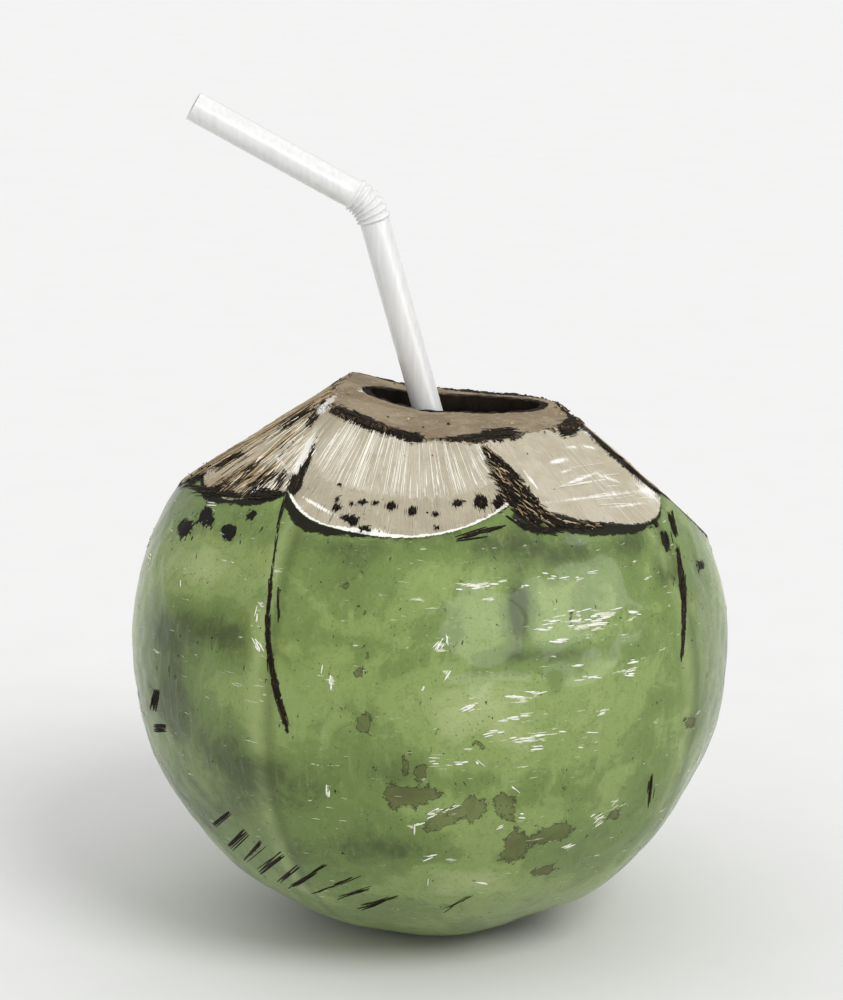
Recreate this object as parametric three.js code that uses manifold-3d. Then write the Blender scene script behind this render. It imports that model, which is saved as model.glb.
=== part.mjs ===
// A green coconut opened for drinking: husk, shell, jelly meat, coconut water and a bendy straw.
// Millimetres and degrees, +Z up, the drinker's side towards -Y.
// The origin is the middle of the flat spot that the coconut rests on.
import * as THREE from "three";
import { mergeVertices } from "three/addons/utils/BufferGeometryUtils.js";
import Module from "manifold-3d";

const wasm = await Module();
wasm.setup();

// Whole fruit
const coconutWidth = 170;
const bodyHalfHeight = 83.4;
const restSpotRadius = 14;
const bodySegments = 64;
const bodyRows = 32;
const ridgeHeight = 2;
const ridgeSpread = 10;
const ridgeAzimuths = [-30, 57, 190];

// The two strokes that took the top off meet in a shallow valley
const topCut = { height: 150.2, valleyX: -2.5, rightFall: 0.039, leftRise: 0.197 };

// Chops round the shoulder: compass direction from the front, steepness, distance from the middle
const chops = {
  left: { azimuth: -60.8, slope: 31.6, distance: 78.5 },
  farLeft: { azimuth: -102, slope: 32.1, distance: 75.9 },
  front: { azimuth: -6.9, slope: 29.4, distance: 76.1 },
  right: { azimuth: 50.5, slope: 30.4, distance: 76 },
  farRight: { azimuth: 103.5, slope: 43, distance: 75.1 },
  rightBack: { azimuth: 131, slope: 40.5, distance: 75.4 },
  back: { azimuth: 165, slope: 39.5, distance: 71.3 },
  leftBack: { azimuth: -136, slope: 57.7, distance: 74.5 },
};
const cutterSize = 260;

// The front chop overran the right one and tore its edge
const torn = { length: 34, width: 6.5, toothDepth: 1.8, teeth: 7, runOut: 60 };

// Nut inside the husk: an upright ellipsoid drawn up into a flattened neck
const nut = { x: 3, y: 4, z: 104, halfWidth: 50, halfHeight: 66 };
const mouth = { x: 7.2, y: 12.8, halfWidth: 24.2, front: 13.6, back: 6.9, squareness: 2.3 };
const neckStart = 118;
const neckEnd = 147;
const neckTop = 172;
const nutSegments = 36;
const nutRows = 16;
const neckRows = 3;
const shellThickness = 2.2;
const meatThickness = 2.5;
const gap = 0.3;
const meatTop = 141;
const waterLevel = 130;

// Bendy straw
const straw = {
  diameter: 8.4,
  wall: 0.4,
  sides: 16,
  foot: new THREE.Vector3(24.9, 10.2, 54.6),
  corner: new THREE.Vector3(-16.9, 6.2, 207.8),
  tip: new THREE.Vector3(-65.6, 3.8, 235.4),
};
const bellows = { reach: 5.4, steps: 10, folds: 6, foldHeight: 0.8, foldHalfWidth: 0.55 };

const bodyCentre = new THREE.Vector3(0, 0, restDepth());
const wallThickness = shellThickness + meatThickness + 2 * gap;

// Height of the body's middle above the flat spot
function restDepth() {
  const share = restSpotRadius / (coconutWidth / 2);
  return bodyHalfHeight * Math.sqrt(1 - share * share);
}

function radians(degrees) {
  return THREE.MathUtils.degToRad(degrees);
}

function toSolid(geometry) {
  const bare = geometry.clone();
  bare.deleteAttribute("normal");
  bare.deleteAttribute("uv");
  const merged = mergeVertices(bare);
  return new wasm.Manifold(new wasm.Mesh({
    numProp: 3,
    vertProperties: new Float32Array(merged.attributes.position.array),
    triVerts: new Uint32Array(merged.index.array),
  }));
}

function toGeometry(solid) {
  const mesh = solid.getMesh();
  const geometry = new THREE.BufferGeometry();
  geometry.setAttribute("position", new THREE.BufferAttribute(mesh.vertProperties, mesh.numProp));
  geometry.setIndex(new THREE.BufferAttribute(mesh.triVerts, 1));
  geometry.computeVertexNormals();
  return geometry;
}

// How far the skin stands out over the three lengthwise ridges
function ridgeLift(azimuth, latitude) {
  let lift = 0;
  for (const ridge of ridgeAzimuths) {
    const away = THREE.MathUtils.euclideanModulo(azimuth - ridge + 180, 360) - 180;
    lift += Math.exp(-((away / ridgeSpread) ** 2));
  }
  return ridgeHeight * lift * Math.cos(latitude);
}

// The whole fruit before any cut: an ellipsoid with soft ridges and a flat resting spot
function wholeFruit() {
  const radius = coconutWidth / 2;
  const start = -Math.acos(restSpotRadius / radius);
  const profile = [new THREE.Vector2(0, 0)];
  for (let row = 0; row < bodyRows; row++) {
    const latitude = THREE.MathUtils.lerp(start, Math.PI / 2, row / bodyRows);
    const height = bodyCentre.z + bodyHalfHeight * Math.sin(latitude);
    profile.push(new THREE.Vector2(radius * Math.cos(latitude), row === 0 ? 0 : height));
  }
  profile.push(new THREE.Vector2(0, bodyCentre.z + bodyHalfHeight));
  const fruit = new THREE.LatheGeometry(profile, bodySegments);
  fruit.rotateX(Math.PI / 2);
  const position = fruit.attributes.position;
  const point = new THREE.Vector3();
  for (let index = 0; index < position.count; index++) {
    point.fromBufferAttribute(position, index);
    const across = Math.hypot(point.x, point.y);
    if (across > restSpotRadius + 1) {
      const sine = THREE.MathUtils.clamp((point.z - bodyCentre.z) / bodyHalfHeight, -1, 1);
      const azimuth = THREE.MathUtils.radToDeg(Math.atan2(point.x, -point.y));
      const factor = 1 + ridgeLift(azimuth, Math.asin(sine)) / across;
      position.setXY(index, point.x * factor, point.y * factor);
    }
  }
  return toSolid(fruit);
}

// Turns a shape that lies on the XY plane so that it lies on a chop
function layOnChop(geometry, chop) {
  geometry.rotateX(radians(chop.slope));
  geometry.rotateZ(radians(chop.azimuth));
  const foot = chopNormal(chop).multiplyScalar(chop.distance).add(bodyCentre);
  return geometry.translate(foot.x, foot.y, foot.z);
}

function chopNormal(chop) {
  const normal = new THREE.Vector3(0, 0, 1);
  normal.applyAxisAngle(new THREE.Vector3(1, 0, 0), radians(chop.slope));
  return normal.applyAxisAngle(new THREE.Vector3(0, 0, 1), radians(chop.azimuth));
}

function block() {
  return new THREE.BoxGeometry(cutterSize, cutterSize, cutterSize).translate(0, 0, cutterSize / 2);
}

function topBlock(fall) {
  const lid = block().rotateY(Math.atan(fall));
  return toSolid(lid.translate(topCut.valleyX, 0, topCut.height));
}

// What the two top strokes removed: all that lies above both of them
function topCutter() {
  return topBlock(topCut.rightFall).intersect(topBlock(topCut.leftRise));
}

// Where the planes of two chops and the right-hand top stroke meet
function rimCorner(first, second) {
  const planes = [first, second].map((chop) => {
    const normal = chopNormal(chop);
    return { normal, offset: normal.dot(bodyCentre) + chop.distance };
  });
  const top = new THREE.Vector3(topCut.rightFall, 0, 1);
  planes.push({ normal: top, offset: topCut.height + topCut.rightFall * topCut.valleyX });
  const [a, b, c] = planes;
  const sum = new THREE.Vector3();
  sum.addScaledVector(new THREE.Vector3().crossVectors(b.normal, c.normal), a.offset);
  sum.addScaledVector(new THREE.Vector3().crossVectors(c.normal, a.normal), b.offset);
  sum.addScaledVector(new THREE.Vector3().crossVectors(a.normal, b.normal), c.offset);
  return sum.divideScalar(a.normal.dot(new THREE.Vector3().crossVectors(b.normal, c.normal)));
}

// The right chop ends on the left in a ragged line that leaves the ridge and widens downwards
function tornCutter() {
  const chop = chops.right;
  const toPlane = (vector) => {
    const local = vector.clone().applyAxisAngle(new THREE.Vector3(0, 0, 1), -radians(chop.azimuth));
    return local.applyAxisAngle(new THREE.Vector3(1, 0, 0), -radians(chop.slope));
  };
  const corner = toPlane(rimCorner(chops.front, chop).sub(bodyCentre));
  const ridge = new THREE.Vector3().crossVectors(chopNormal(chops.front), chopNormal(chop));
  const along = toPlane(ridge.multiplyScalar(-Math.sign(ridge.z)).normalize());
  const start = new THREE.Vector2(corner.x, corner.y);
  const down = new THREE.Vector2(along.x, along.y).normalize();
  const right = new THREE.Vector2(-down.y, down.x);
  const place = (downwards, rightwards) =>
    start.clone().addScaledVector(down, downwards).addScaledVector(right, rightwards);
  const outline = [place(-torn.runOut, torn.runOut * 2), place(-torn.runOut, 0), place(0, 0)];
  const stations = 2 * torn.teeth;
  for (let station = 1; station <= stations; station++) {
    const share = station / stations;
    const size = torn.toothDepth * (0.7 + 0.3 * Math.sin(station * 2.4));
    const tooth = (station % 2) * size * Math.sqrt(Math.sin(Math.PI * share));
    outline.push(place(torn.length * share, torn.width * share + tooth));
  }
  outline.push(place(torn.length + torn.runOut, torn.width));
  outline.push(place(torn.length + torn.runOut, torn.runOut * 2));
  const sheet = new THREE.ExtrudeGeometry(new THREE.Shape(outline), {
    depth: cutterSize / 2,
    bevelEnabled: false,
  });
  return toSolid(layOnChop(sheet, chop));
}

function huskSolid() {
  let husk = wholeFruit().subtract(topCutter());
  for (const [name, chop] of Object.entries(chops)) {
    husk = husk.subtract(name === "right" ? tornCutter() : toSolid(layOnChop(block(), chop)));
  }
  return husk.subtract(nutSolid(-gap));
}

// The nut's own wall at one height: half widths, depths, middle and squareness
function nutRow(height, ellipseSine) {
  const cosine = Math.sqrt(Math.max(0, 1 - ellipseSine * ellipseSine));
  const round = nut.halfWidth * cosine;
  const blend = THREE.MathUtils.smoothstep(height, neckStart, neckEnd);
  const mix = (below, above) => THREE.MathUtils.lerp(below, above, blend);
  return {
    height,
    halfWidth: mix(round, mouth.halfWidth + shellThickness),
    front: mix(round, mouth.front + shellThickness),
    back: mix(round, mouth.back + shellThickness),
    x: mix(nut.x, mouth.x),
    y: mix(nut.y, mouth.y),
    power: mix(2, mouth.squareness),
  };
}

function nutRowsFromBelow() {
  const rows = [];
  const lastSine = (neckEnd - nut.z) / nut.halfHeight;
  const lastAngle = Math.asin(lastSine);
  for (let index = 0; index <= nutRows; index++) {
    const angle = THREE.MathUtils.lerp(-Math.PI / 2, lastAngle, index / nutRows);
    rows.push(nutRow(nut.z + nut.halfHeight * Math.sin(angle), Math.sin(angle)));
  }
  for (let index = 1; index <= neckRows; index++) {
    rows.push(nutRow(THREE.MathUtils.lerp(neckEnd, neckTop, index / neckRows), lastSine));
  }
  return rows;
}

// Outward direction of the wall in the upright section, from the rows above and below
function wallNormal(rows, index) {
  const below = rows[Math.max(0, index - 1)];
  const above = rows[Math.min(rows.length - 1, index + 1)];
  const reach = (row) => (2 * row.halfWidth + row.front + row.back) / 4;
  const normal = new THREE.Vector2(above.height - below.height, reach(below) - reach(above));
  return index === 0 ? new THREE.Vector2(0, -1) : normal.normalize();
}

// The nut's form moved inwards by inset, or outwards where inset is below zero
function nutSolid(inset) {
  const rows = nutRowsFromBelow();
  const rings = rows.map((row, index) => {
    const normal = wallNormal(rows, index);
    const shrink = inset * normal.x;
    return {
      ...row,
      height: row.height - inset * normal.y,
      halfWidth: Math.max(0, row.halfWidth - shrink),
      front: Math.max(0, row.front - shrink),
      back: Math.max(0, row.back - shrink),
    };
  });
  const profile = rings.map((ring) => new THREE.Vector2(ring.halfWidth, ring.height));
  profile.push(new THREE.Vector2(0, neckTop));
  rings.push({ ...rings.at(-1), height: neckTop, halfWidth: 0, front: 0, back: 0 });
  const form = new THREE.LatheGeometry(profile, nutSegments).rotateX(Math.PI / 2);
  const position = form.attributes.position;
  for (let index = 0; index < position.count; index++) {
    const ring = rings[index % rings.length];
    const turn = Math.floor(index / rings.length) / nutSegments;
    const place = sectionPoint(ring, (turn % 1) * 2 * Math.PI);
    position.setXYZ(index, place.x, place.y, ring.height);
  }
  return toSolid(form);
}

// A point of the rounded, D-shaped section, clockwise from the back as the lathe turns
function sectionPoint(ring, angle) {
  const side = Math.sin(angle);
  const deep = -Math.cos(angle);
  const stretch = (Math.abs(side) ** ring.power + Math.abs(deep) ** ring.power) ** (-1 / ring.power);
  const depth = deep < 0 ? ring.front : ring.back;
  return { x: ring.x + ring.halfWidth * side * stretch, y: ring.y + depth * deep * stretch };
}

function shellSolid() {
  return nutSolid(0).subtract(nutSolid(shellThickness)).subtract(topCutter());
}

function above(height) {
  return toSolid(block().translate(0, 0, height));
}

// The jelly thins out before it reaches the mouth, where the bare shell shows
function meatSolid() {
  const jelly = nutSolid(shellThickness + gap).subtract(nutSolid(wallThickness - gap));
  return jelly.subtract(above(meatTop));
}

function waterSolid() {
  return nutSolid(wallThickness).subtract(above(waterLevel)).subtract(strawRod());
}

// The room that the lower arm takes in the drink
function strawRod() {
  const radius = straw.diameter / 2 + gap;
  const path = new THREE.Vector3().subVectors(straw.corner, straw.foot);
  const rod = new THREE.CylinderGeometry(radius, radius, path.length(), straw.sides);
  rod.translate(0, path.length() / 2 - 2 * straw.diameter, 0);
  const turn = new THREE.Quaternion().setFromUnitVectors(new THREE.Vector3(0, 1, 0), path.normalize());
  rod.applyQuaternion(turn);
  return toSolid(rod.translate(straw.foot.x, straw.foot.y, straw.foot.z));
}

// The straw's middle line: one long step up to the bend, short steps round it, one long step out
class StrawLine extends THREE.Curve {
  constructor() {
    super();
    const { foot, corner, tip } = straw;
    this.bendStart = corner.clone().add(foot.clone().sub(corner).setLength(bellows.reach));
    this.bendEnd = corner.clone().add(tip.clone().sub(corner).setLength(bellows.reach));
    this.bend = new THREE.QuadraticBezierCurve3(this.bendStart, corner, this.bendEnd);
    this.steps = bellows.steps + 2;
  }

  getPoint(share, target = new THREE.Vector3()) {
    const step = share * this.steps;
    if (step < 1) {
      return target.lerpVectors(straw.foot, this.bendStart, step);
    }
    if (step > this.steps - 1) {
      return target.lerpVectors(this.bendEnd, straw.tip, step - this.steps + 1);
    }
    return this.bend.getPoint((step - 1) / bellows.steps, target);
  }

  getPointAt(share, target) {
    return this.getPoint(share, target);
  }

  getTangentAt(share, target) {
    return this.getTangent(share, target);
  }
}

function strawTube(line) {
  const radius = straw.diameter / 2;
  const section = new THREE.Shape();
  const bore = new THREE.Path();
  for (let side = 0; side < straw.sides; side++) {
    const angle = (side / straw.sides) * 2 * Math.PI;
    const add = side === 0 ? "moveTo" : "lineTo";
    section[add](radius * Math.cos(angle), radius * Math.sin(angle));
    bore[add]((radius - straw.wall) * Math.cos(angle), (radius - straw.wall) * Math.sin(angle));
  }
  section.holes.push(bore);
  return toSolid(new THREE.ExtrudeGeometry(section, { steps: line.steps, extrudePath: line }));
}

// One raised fold of the bellows, a ring of diamond section round the tube
function bellowsFold(line, share) {
  const inside = straw.diameter / 2 - straw.wall / 2;
  const crest = straw.diameter / 2 + bellows.foldHeight;
  const profile = [
    new THREE.Vector2(inside, -bellows.foldHalfWidth),
    new THREE.Vector2(crest, 0),
    new THREE.Vector2(inside, bellows.foldHalfWidth),
    new THREE.Vector2(inside, -bellows.foldHalfWidth),
  ];
  const ring = new THREE.LatheGeometry(profile, straw.sides);
  const tangent = line.bend.getTangent(share);
  const turn = new THREE.Quaternion().setFromUnitVectors(new THREE.Vector3(0, 1, 0), tangent);
  const place = line.bend.getPoint(share);
  return toSolid(ring.applyQuaternion(turn).translate(place.x, place.y, place.z));
}

function strawSolid() {
  const line = new StrawLine();
  let solid = strawTube(line);
  for (let fold = 0; fold < bellows.folds; fold++) {
    solid = solid.add(bellowsFold(line, (fold + 0.5) / bellows.folds));
  }
  return solid;
}

function piece(name, solid, color, roughness) {
  const material = new THREE.MeshStandardMaterial({ color, roughness, metalness: 0 });
  const mesh = new THREE.Mesh(toGeometry(solid), material);
  mesh.name = name;
  return mesh;
}

const coconut = new THREE.Group();
coconut.add(piece("husk", huskSolid(), 0x7f9a52, 0.5));
coconut.add(piece("shell", shellSolid(), 0xa07a4c, 0.6));
coconut.add(piece("meat", meatSolid(), 0xf1eee2, 0.35));
coconut.add(piece("water", waterSolid(), 0xdfe6e2, 0.1));
coconut.add(piece("straw", strawSolid(), 0xf4f4f2, 0.3));

export default coconut;
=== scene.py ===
import math

import bpy
import numpy as np
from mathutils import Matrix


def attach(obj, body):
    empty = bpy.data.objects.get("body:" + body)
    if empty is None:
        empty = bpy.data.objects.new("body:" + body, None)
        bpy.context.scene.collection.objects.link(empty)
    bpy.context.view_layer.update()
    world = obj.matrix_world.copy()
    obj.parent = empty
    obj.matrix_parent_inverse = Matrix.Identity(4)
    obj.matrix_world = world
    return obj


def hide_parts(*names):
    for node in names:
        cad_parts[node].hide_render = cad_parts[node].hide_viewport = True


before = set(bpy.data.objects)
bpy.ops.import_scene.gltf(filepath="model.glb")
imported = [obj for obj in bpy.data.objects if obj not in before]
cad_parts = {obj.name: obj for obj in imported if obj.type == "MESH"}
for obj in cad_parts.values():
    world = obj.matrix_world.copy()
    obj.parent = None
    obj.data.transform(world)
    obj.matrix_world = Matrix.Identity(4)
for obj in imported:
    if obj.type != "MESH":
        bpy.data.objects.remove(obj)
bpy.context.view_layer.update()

print("frame loaded:", ", ".join(sorted(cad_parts)))

mm = 0.001  # shapes are worked out in millimetres and put into the meshes in metres

# The camera of the picture; marks are placed by the picture's pixels
cameraSetup = dict(
    place=(0.0, -959.31, 364.64),  # mm
    pitch=14.10,  # degrees down
    yaw=0.14,
    focal=3484.3,  # in pixels of the picture
    picture=(843, 1000),
    sensor=36.0,
)
cameraPlace = np.array(cameraSetup["place"])
viewPitch = math.radians(cameraSetup["pitch"])
viewYaw = math.radians(cameraSetup["yaw"])
viewForward = np.array((-math.sin(viewYaw), math.cos(viewYaw), -math.tan(viewPitch))) * math.cos(viewPitch)
viewRight = np.array((math.cos(viewYaw), math.sin(viewYaw), 0.0))
viewUp = np.cross(viewRight, viewForward)
pictureMiddle = np.array(cameraSetup["picture"]) / 2
pixelSize = 0.287  # mm at the coconut


def makeCamera():
    data = bpy.data.cameras.new("pictureCamera")
    data.sensor_width = cameraSetup["sensor"]
    data.lens = cameraSetup["focal"] * cameraSetup["sensor"] / cameraSetup["picture"][1]
    data.clip_end = 60
    camera = bpy.data.objects.new("pictureCamera", data)
    camera.location = cameraPlace * mm
    camera.rotation_euler = (math.pi / 2 - viewPitch, 0, viewYaw)
    bpy.context.scene.collection.objects.link(camera)
    bpy.context.scene.camera = camera


def pixelsOf(points):
    away = points - cameraPlace
    depth = away @ viewForward
    across = cameraSetup["focal"] * (away @ viewRight) / depth
    down = -cameraSetup["focal"] * (away @ viewUp) / depth
    return pictureMiddle[0] + across, pictureMiddle[1] + down


def rayThrough(px, py):
    ray = np.multiply.outer(np.ones_like(px) * cameraSetup["focal"], viewForward)
    ray = ray + np.multiply.outer(px - pictureMiddle[0], viewRight)
    return ray + np.multiply.outer(pictureMiddle[1] - py, viewUp)


makeCamera()


def smoothStep(low, high, value):
    t = np.clip((value - low) / (high - low), 0, 1)
    return t * t * (3 - 2 * t)


def blendTo(start, end, share):
    return start + (end - start) * share


def wobble(points, size, seed, waves=12):  # smooth random value, about -1 to 1, changing over size mm
    rng = np.random.default_rng(seed)
    directions = rng.normal(size=(waves, points.shape[-1]))
    directions /= np.linalg.norm(directions, axis=1, keepdims=True)
    directions *= 2 * math.pi / size * rng.uniform(0.6, 1.4, (waves, 1))
    phases = rng.uniform(0, 2 * math.pi, waves)
    return np.sin(points @ directions.T + phases).sum(-1) / math.sqrt(waves)


def unit(vectors):
    return vectors / np.maximum(np.linalg.norm(vectors, axis=-1, keepdims=True), 1e-9)


def towards(azimuth, elevation):  # direction from the coconut, degrees from the front to the right, and up
    azimuth, elevation = math.radians(azimuth), math.radians(elevation)
    level = math.cos(elevation)
    return np.array((math.sin(azimuth) * level, -math.cos(azimuth) * level, math.sin(elevation)))


def roundCircle(count):  # that many angles, evenly spaced
    return np.arange(count) * 2 * math.pi / count


def makePiece(name, vertices, faces, attributes=None, materials=(), faceMaterials=None, smooth=True):
    mesh = bpy.data.meshes.new(name)
    mesh.from_pydata((np.asarray(vertices) * mm).tolist(), [], [tuple(int(i) for i in f) for f in faces])
    for key, values in (attributes or {}).items():
        values = np.asarray(values, dtype=np.float32)
        kind = "FLOAT_VECTOR" if values.ndim == 2 else "FLOAT"
        layer = mesh.attributes.new(key, kind, "POINT")
        layer.data.foreach_set("vector" if values.ndim == 2 else "value", values.ravel())
    for material in materials:
        mesh.materials.append(material)
    if faceMaterials is not None:
        mesh.polygons.foreach_set("material_index", np.asarray(faceMaterials, dtype=np.int32))
    if smooth:
        mesh.polygons.foreach_set("use_smooth", [True] * len(mesh.polygons))
    mesh.validate()
    mesh.update()
    thing = bpy.data.objects.new(name, mesh)
    bpy.context.scene.collection.objects.link(thing)
    return thing


def gridFaces(rows, columns):  # rows of points that close round, each row above the last
    row = np.arange(rows - 1)[:, None] * columns
    here = np.arange(columns)[None, :]
    there = (here + 1) % columns
    quads = np.stack((row + here, row + there, row + columns + there, row + columns + here), -1)
    return quads.reshape(-1, 4)


def fanFaces(ring, middle, upwards):
    ahead = np.roll(ring, -1)
    pairs = (ring, ahead) if upwards else (ahead, ring)
    return [(a, b, middle) for a, b in zip(*pairs)]


def closedRows(body, firstMiddle, lastMiddle):  # points and faces of rows that a fan closes at each end
    rows, columns = body.shape[:2]
    count = rows * columns
    faces = gridFaces(rows, columns).tolist()
    faces += fanFaces(np.arange(columns), count, upwards=False)
    faces += fanFaces(np.arange(columns) + count - columns, count + 1, upwards=True)
    return np.concatenate((body.reshape(-1, 3), (firstMiddle, lastMiddle))), faces


# The coconut's form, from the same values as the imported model
coconut = dict(
    width=170,
    halfHeight=83.4,
    restSpot=14,
    ridges=(-30, 57, 190),  # degrees from the front, to the right
    ridgeHeight=2,
    ridgeSpread=10,
    topHeight=150.2,
    valleyX=-2.5,
    rightFall=0.039,
    leftRise=0.197,
    chops=dict(  # direction, steepness, distance from the middle
        left=(-60.8, 31.6, 78.5),
        farLeft=(-102, 32.1, 75.9),
        front=(-6.9, 29.4, 76.1),
        right=(50.5, 30.4, 76),
        farRight=(103.5, 43, 75.1),
        rightBack=(131, 40.5, 75.4),
        back=(165, 39.5, 71.3),
        leftBack=(-136, 57.7, 74.5),
    ),
    tornLength=34,
    tornWidth=6.5,
    toothDepth=1.8,
    teeth=7,
)
restLatitude = -math.acos(2 * coconut["restSpot"] / coconut["width"])  # of the edge of the flat spot below
middleHeight = -coconut["halfHeight"] * math.sin(restLatitude)
bodyMiddle = np.array((0, 0, middleHeight))
chopNames = list(coconut["chops"])
topFacet = len(chopNames)  # facet number of the cut across the top


def compass(x, y):  # degrees from the front, to the right
    return np.degrees(np.arctan2(x, -y))


def bodyReach(azimuth):  # widest half width in that direction, with the three lengthwise ridges
    lift = 0
    for ridge in coconut["ridges"]:
        away = (azimuth - ridge + 180) % 360 - 180
        lift = lift + np.exp(-((away / coconut["ridgeSpread"]) ** 2))
    return coconut["width"] / 2 + coconut["ridgeHeight"] * lift


def skinHeight(x, y):
    share = np.hypot(x, y) / bodyReach(compass(x, y))
    return middleHeight + coconut["halfHeight"] * np.sqrt(np.maximum(0, 1 - share**2))


def chopNormal(name):
    azimuth, slope = np.radians(coconut["chops"][name][:2])
    return np.array((
        math.sin(azimuth) * math.sin(slope), -math.cos(azimuth) * math.sin(slope), math.cos(slope)
    ))


def chopHeight(name, x, y):
    normal = chopNormal(name)
    return middleHeight + (coconut["chops"][name][2] - normal[0] * x - normal[1] * y) / normal[2]


def topHeight(x, y):
    along = x - coconut["valleyX"]
    return coconut["topHeight"] - np.minimum(coconut["rightFall"] * along, coconut["leftRise"] * along)


def findTornLine():  # where the torn edge starts, the way it runs and the way it widens
    front, right = chopNormal("front"), chopNormal("right")
    top = np.array((coconut["rightFall"], 0, 1))
    offsets = [n @ bodyMiddle + coconut["chops"][k][2] for n, k in ((front, "front"), (right, "right"))]
    offsets.append(coconut["topHeight"] + coconut["rightFall"] * coconut["valleyX"])
    corner = np.linalg.solve(np.array((front, right, top)), offsets)
    down = unit(np.cross(front, right))
    down = -down * np.sign(down[2])
    return corner, down, np.cross(right, down)


tornCorner, tornDown, tornAcross = findTornLine()


def tornEdgeAt(along):
    stations = np.arange(0, 2 * coconut["teeth"] + 1)
    share = stations / (2 * coconut["teeth"])
    size = coconut["toothDepth"] * (0.7 + 0.3 * np.sin(stations * 2.4))
    tooth = (stations % 2) * size * np.sqrt(np.sin(math.pi * np.clip(share, 0, 1)) * (share < 1))
    edge = np.interp(along, coconut["tornLength"] * share, coconut["tornWidth"] * share + tooth)
    ragged = 0.45 * np.sin(along * 2.1 + 1) + 0.3 * np.sin(along * 4.7) + 0.22 * np.sin(along * 9.3 + 2)
    return edge + ragged * smoothStep(0.5, 5, along)


def besideTorn(x, y):  # mm to the right of the torn line, and mm down along it
    away = np.stack((x, y, chopHeight("right", x, y)), -1) - tornCorner
    along = away @ tornDown
    return away @ tornAcross - tornEdgeAt(along), along


def cutHeights(x, y):
    heights = [chopHeight(name, x, y) for name in chopNames] + [topHeight(x, y)]
    beside, _ = besideTorn(x, y)
    right = chopNames.index("right")
    heights[right] = np.where(beside > 0, heights[right], 999.0)
    return np.stack(heights)


def cutSurface(x, y, rounding=0.22):  # height of what the chops left, and the facet it lies on
    heights = cutHeights(x, y)
    lowest = heights.min(0)
    soft = lowest - rounding * np.log(np.exp(-(heights - lowest) / rounding).sum(0))
    return soft, heights.argmin(0)


def depthBelowSkin(points):
    outShare = np.hypot(points[..., 0], points[..., 1]) / bodyReach(compass(points[..., 0], points[..., 1]))
    upShare = (points[..., 2] - middleHeight) / coconut["halfHeight"]
    return (1 - np.hypot(outShare, upShare)) * coconut["width"] / 2


# The nut inside the husk: shell, meat and water share its form
nut = dict(
    x=3, y=4, z=104, halfWidth=50, halfHeight=66,
    mouthX=7.2, mouthY=12.8, mouthHalfWidth=24.2, mouthFront=13.6, mouthBack=6.9, squareness=2.3,
    neckStart=118, neckEnd=147, mouthTop=150.0,
    shellThickness=2.2, wallThickness=5.0, gap=0.3,
    meatTop=141, waterLevel=130,
)


def nutSection(height):
    sine = np.clip((np.minimum(height, nut["neckEnd"]) - nut["z"]) / nut["halfHeight"], -1, 1)
    around = nut["halfWidth"] * np.sqrt(1 - sine**2)
    blend = smoothStep(nut["neckStart"], nut["neckEnd"], height)
    shell = nut["shellThickness"]
    return dict(
        halfWidth=blendTo(around, nut["mouthHalfWidth"] + shell, blend),
        front=blendTo(around, nut["mouthFront"] + shell, blend),
        back=blendTo(around, nut["mouthBack"] + shell, blend),
        x=blendTo(nut["x"], nut["mouthX"], blend),
        y=blendTo(nut["y"], nut["mouthY"], blend),
        power=blendTo(2, nut["squareness"], blend),
    )


def nutSpread(height):  # mean half width of the nut
    section = nutSection(height)
    return (2 * section["halfWidth"] + section["front"] + section["back"]) / 4


def nutWall(angle, height, inset):  # point on the nut's wall, moved inwards by inset along the wall's slope
    step = 0.5
    here = nutSection(height)
    narrowing = nutSpread(height - step) - nutSpread(height + step)
    slope = unit(np.stack((2 * step * np.ones_like(height), narrowing), -1))
    side, deep = np.sin(angle), -np.cos(angle)
    power = here["power"]
    stretch = (np.abs(side) ** power + np.abs(deep) ** power) ** (-1 / power)
    shrink = inset * slope[..., 0]
    depth = np.where(deep < 0, here["front"], here["back"])
    x = here["x"] + np.maximum(0, here["halfWidth"] - shrink) * side * stretch
    y = here["y"] + np.maximum(0, depth - shrink) * deep * stretch
    return np.stack((x, y, height - inset * slope[..., 1]), -1)


def nutLevels(top, rows, lowest=1.2):  # heights from the top of a wall down to near the nut's lowest point
    bottomAngle = -math.pi / 2 + math.radians(lowest)
    topAngle = math.asin(min(1, (top - nut["z"]) / nut["halfHeight"]))
    return nut["z"] + nut["halfHeight"] * np.sin(np.linspace(topAngle, bottomAngle, rows))


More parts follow.
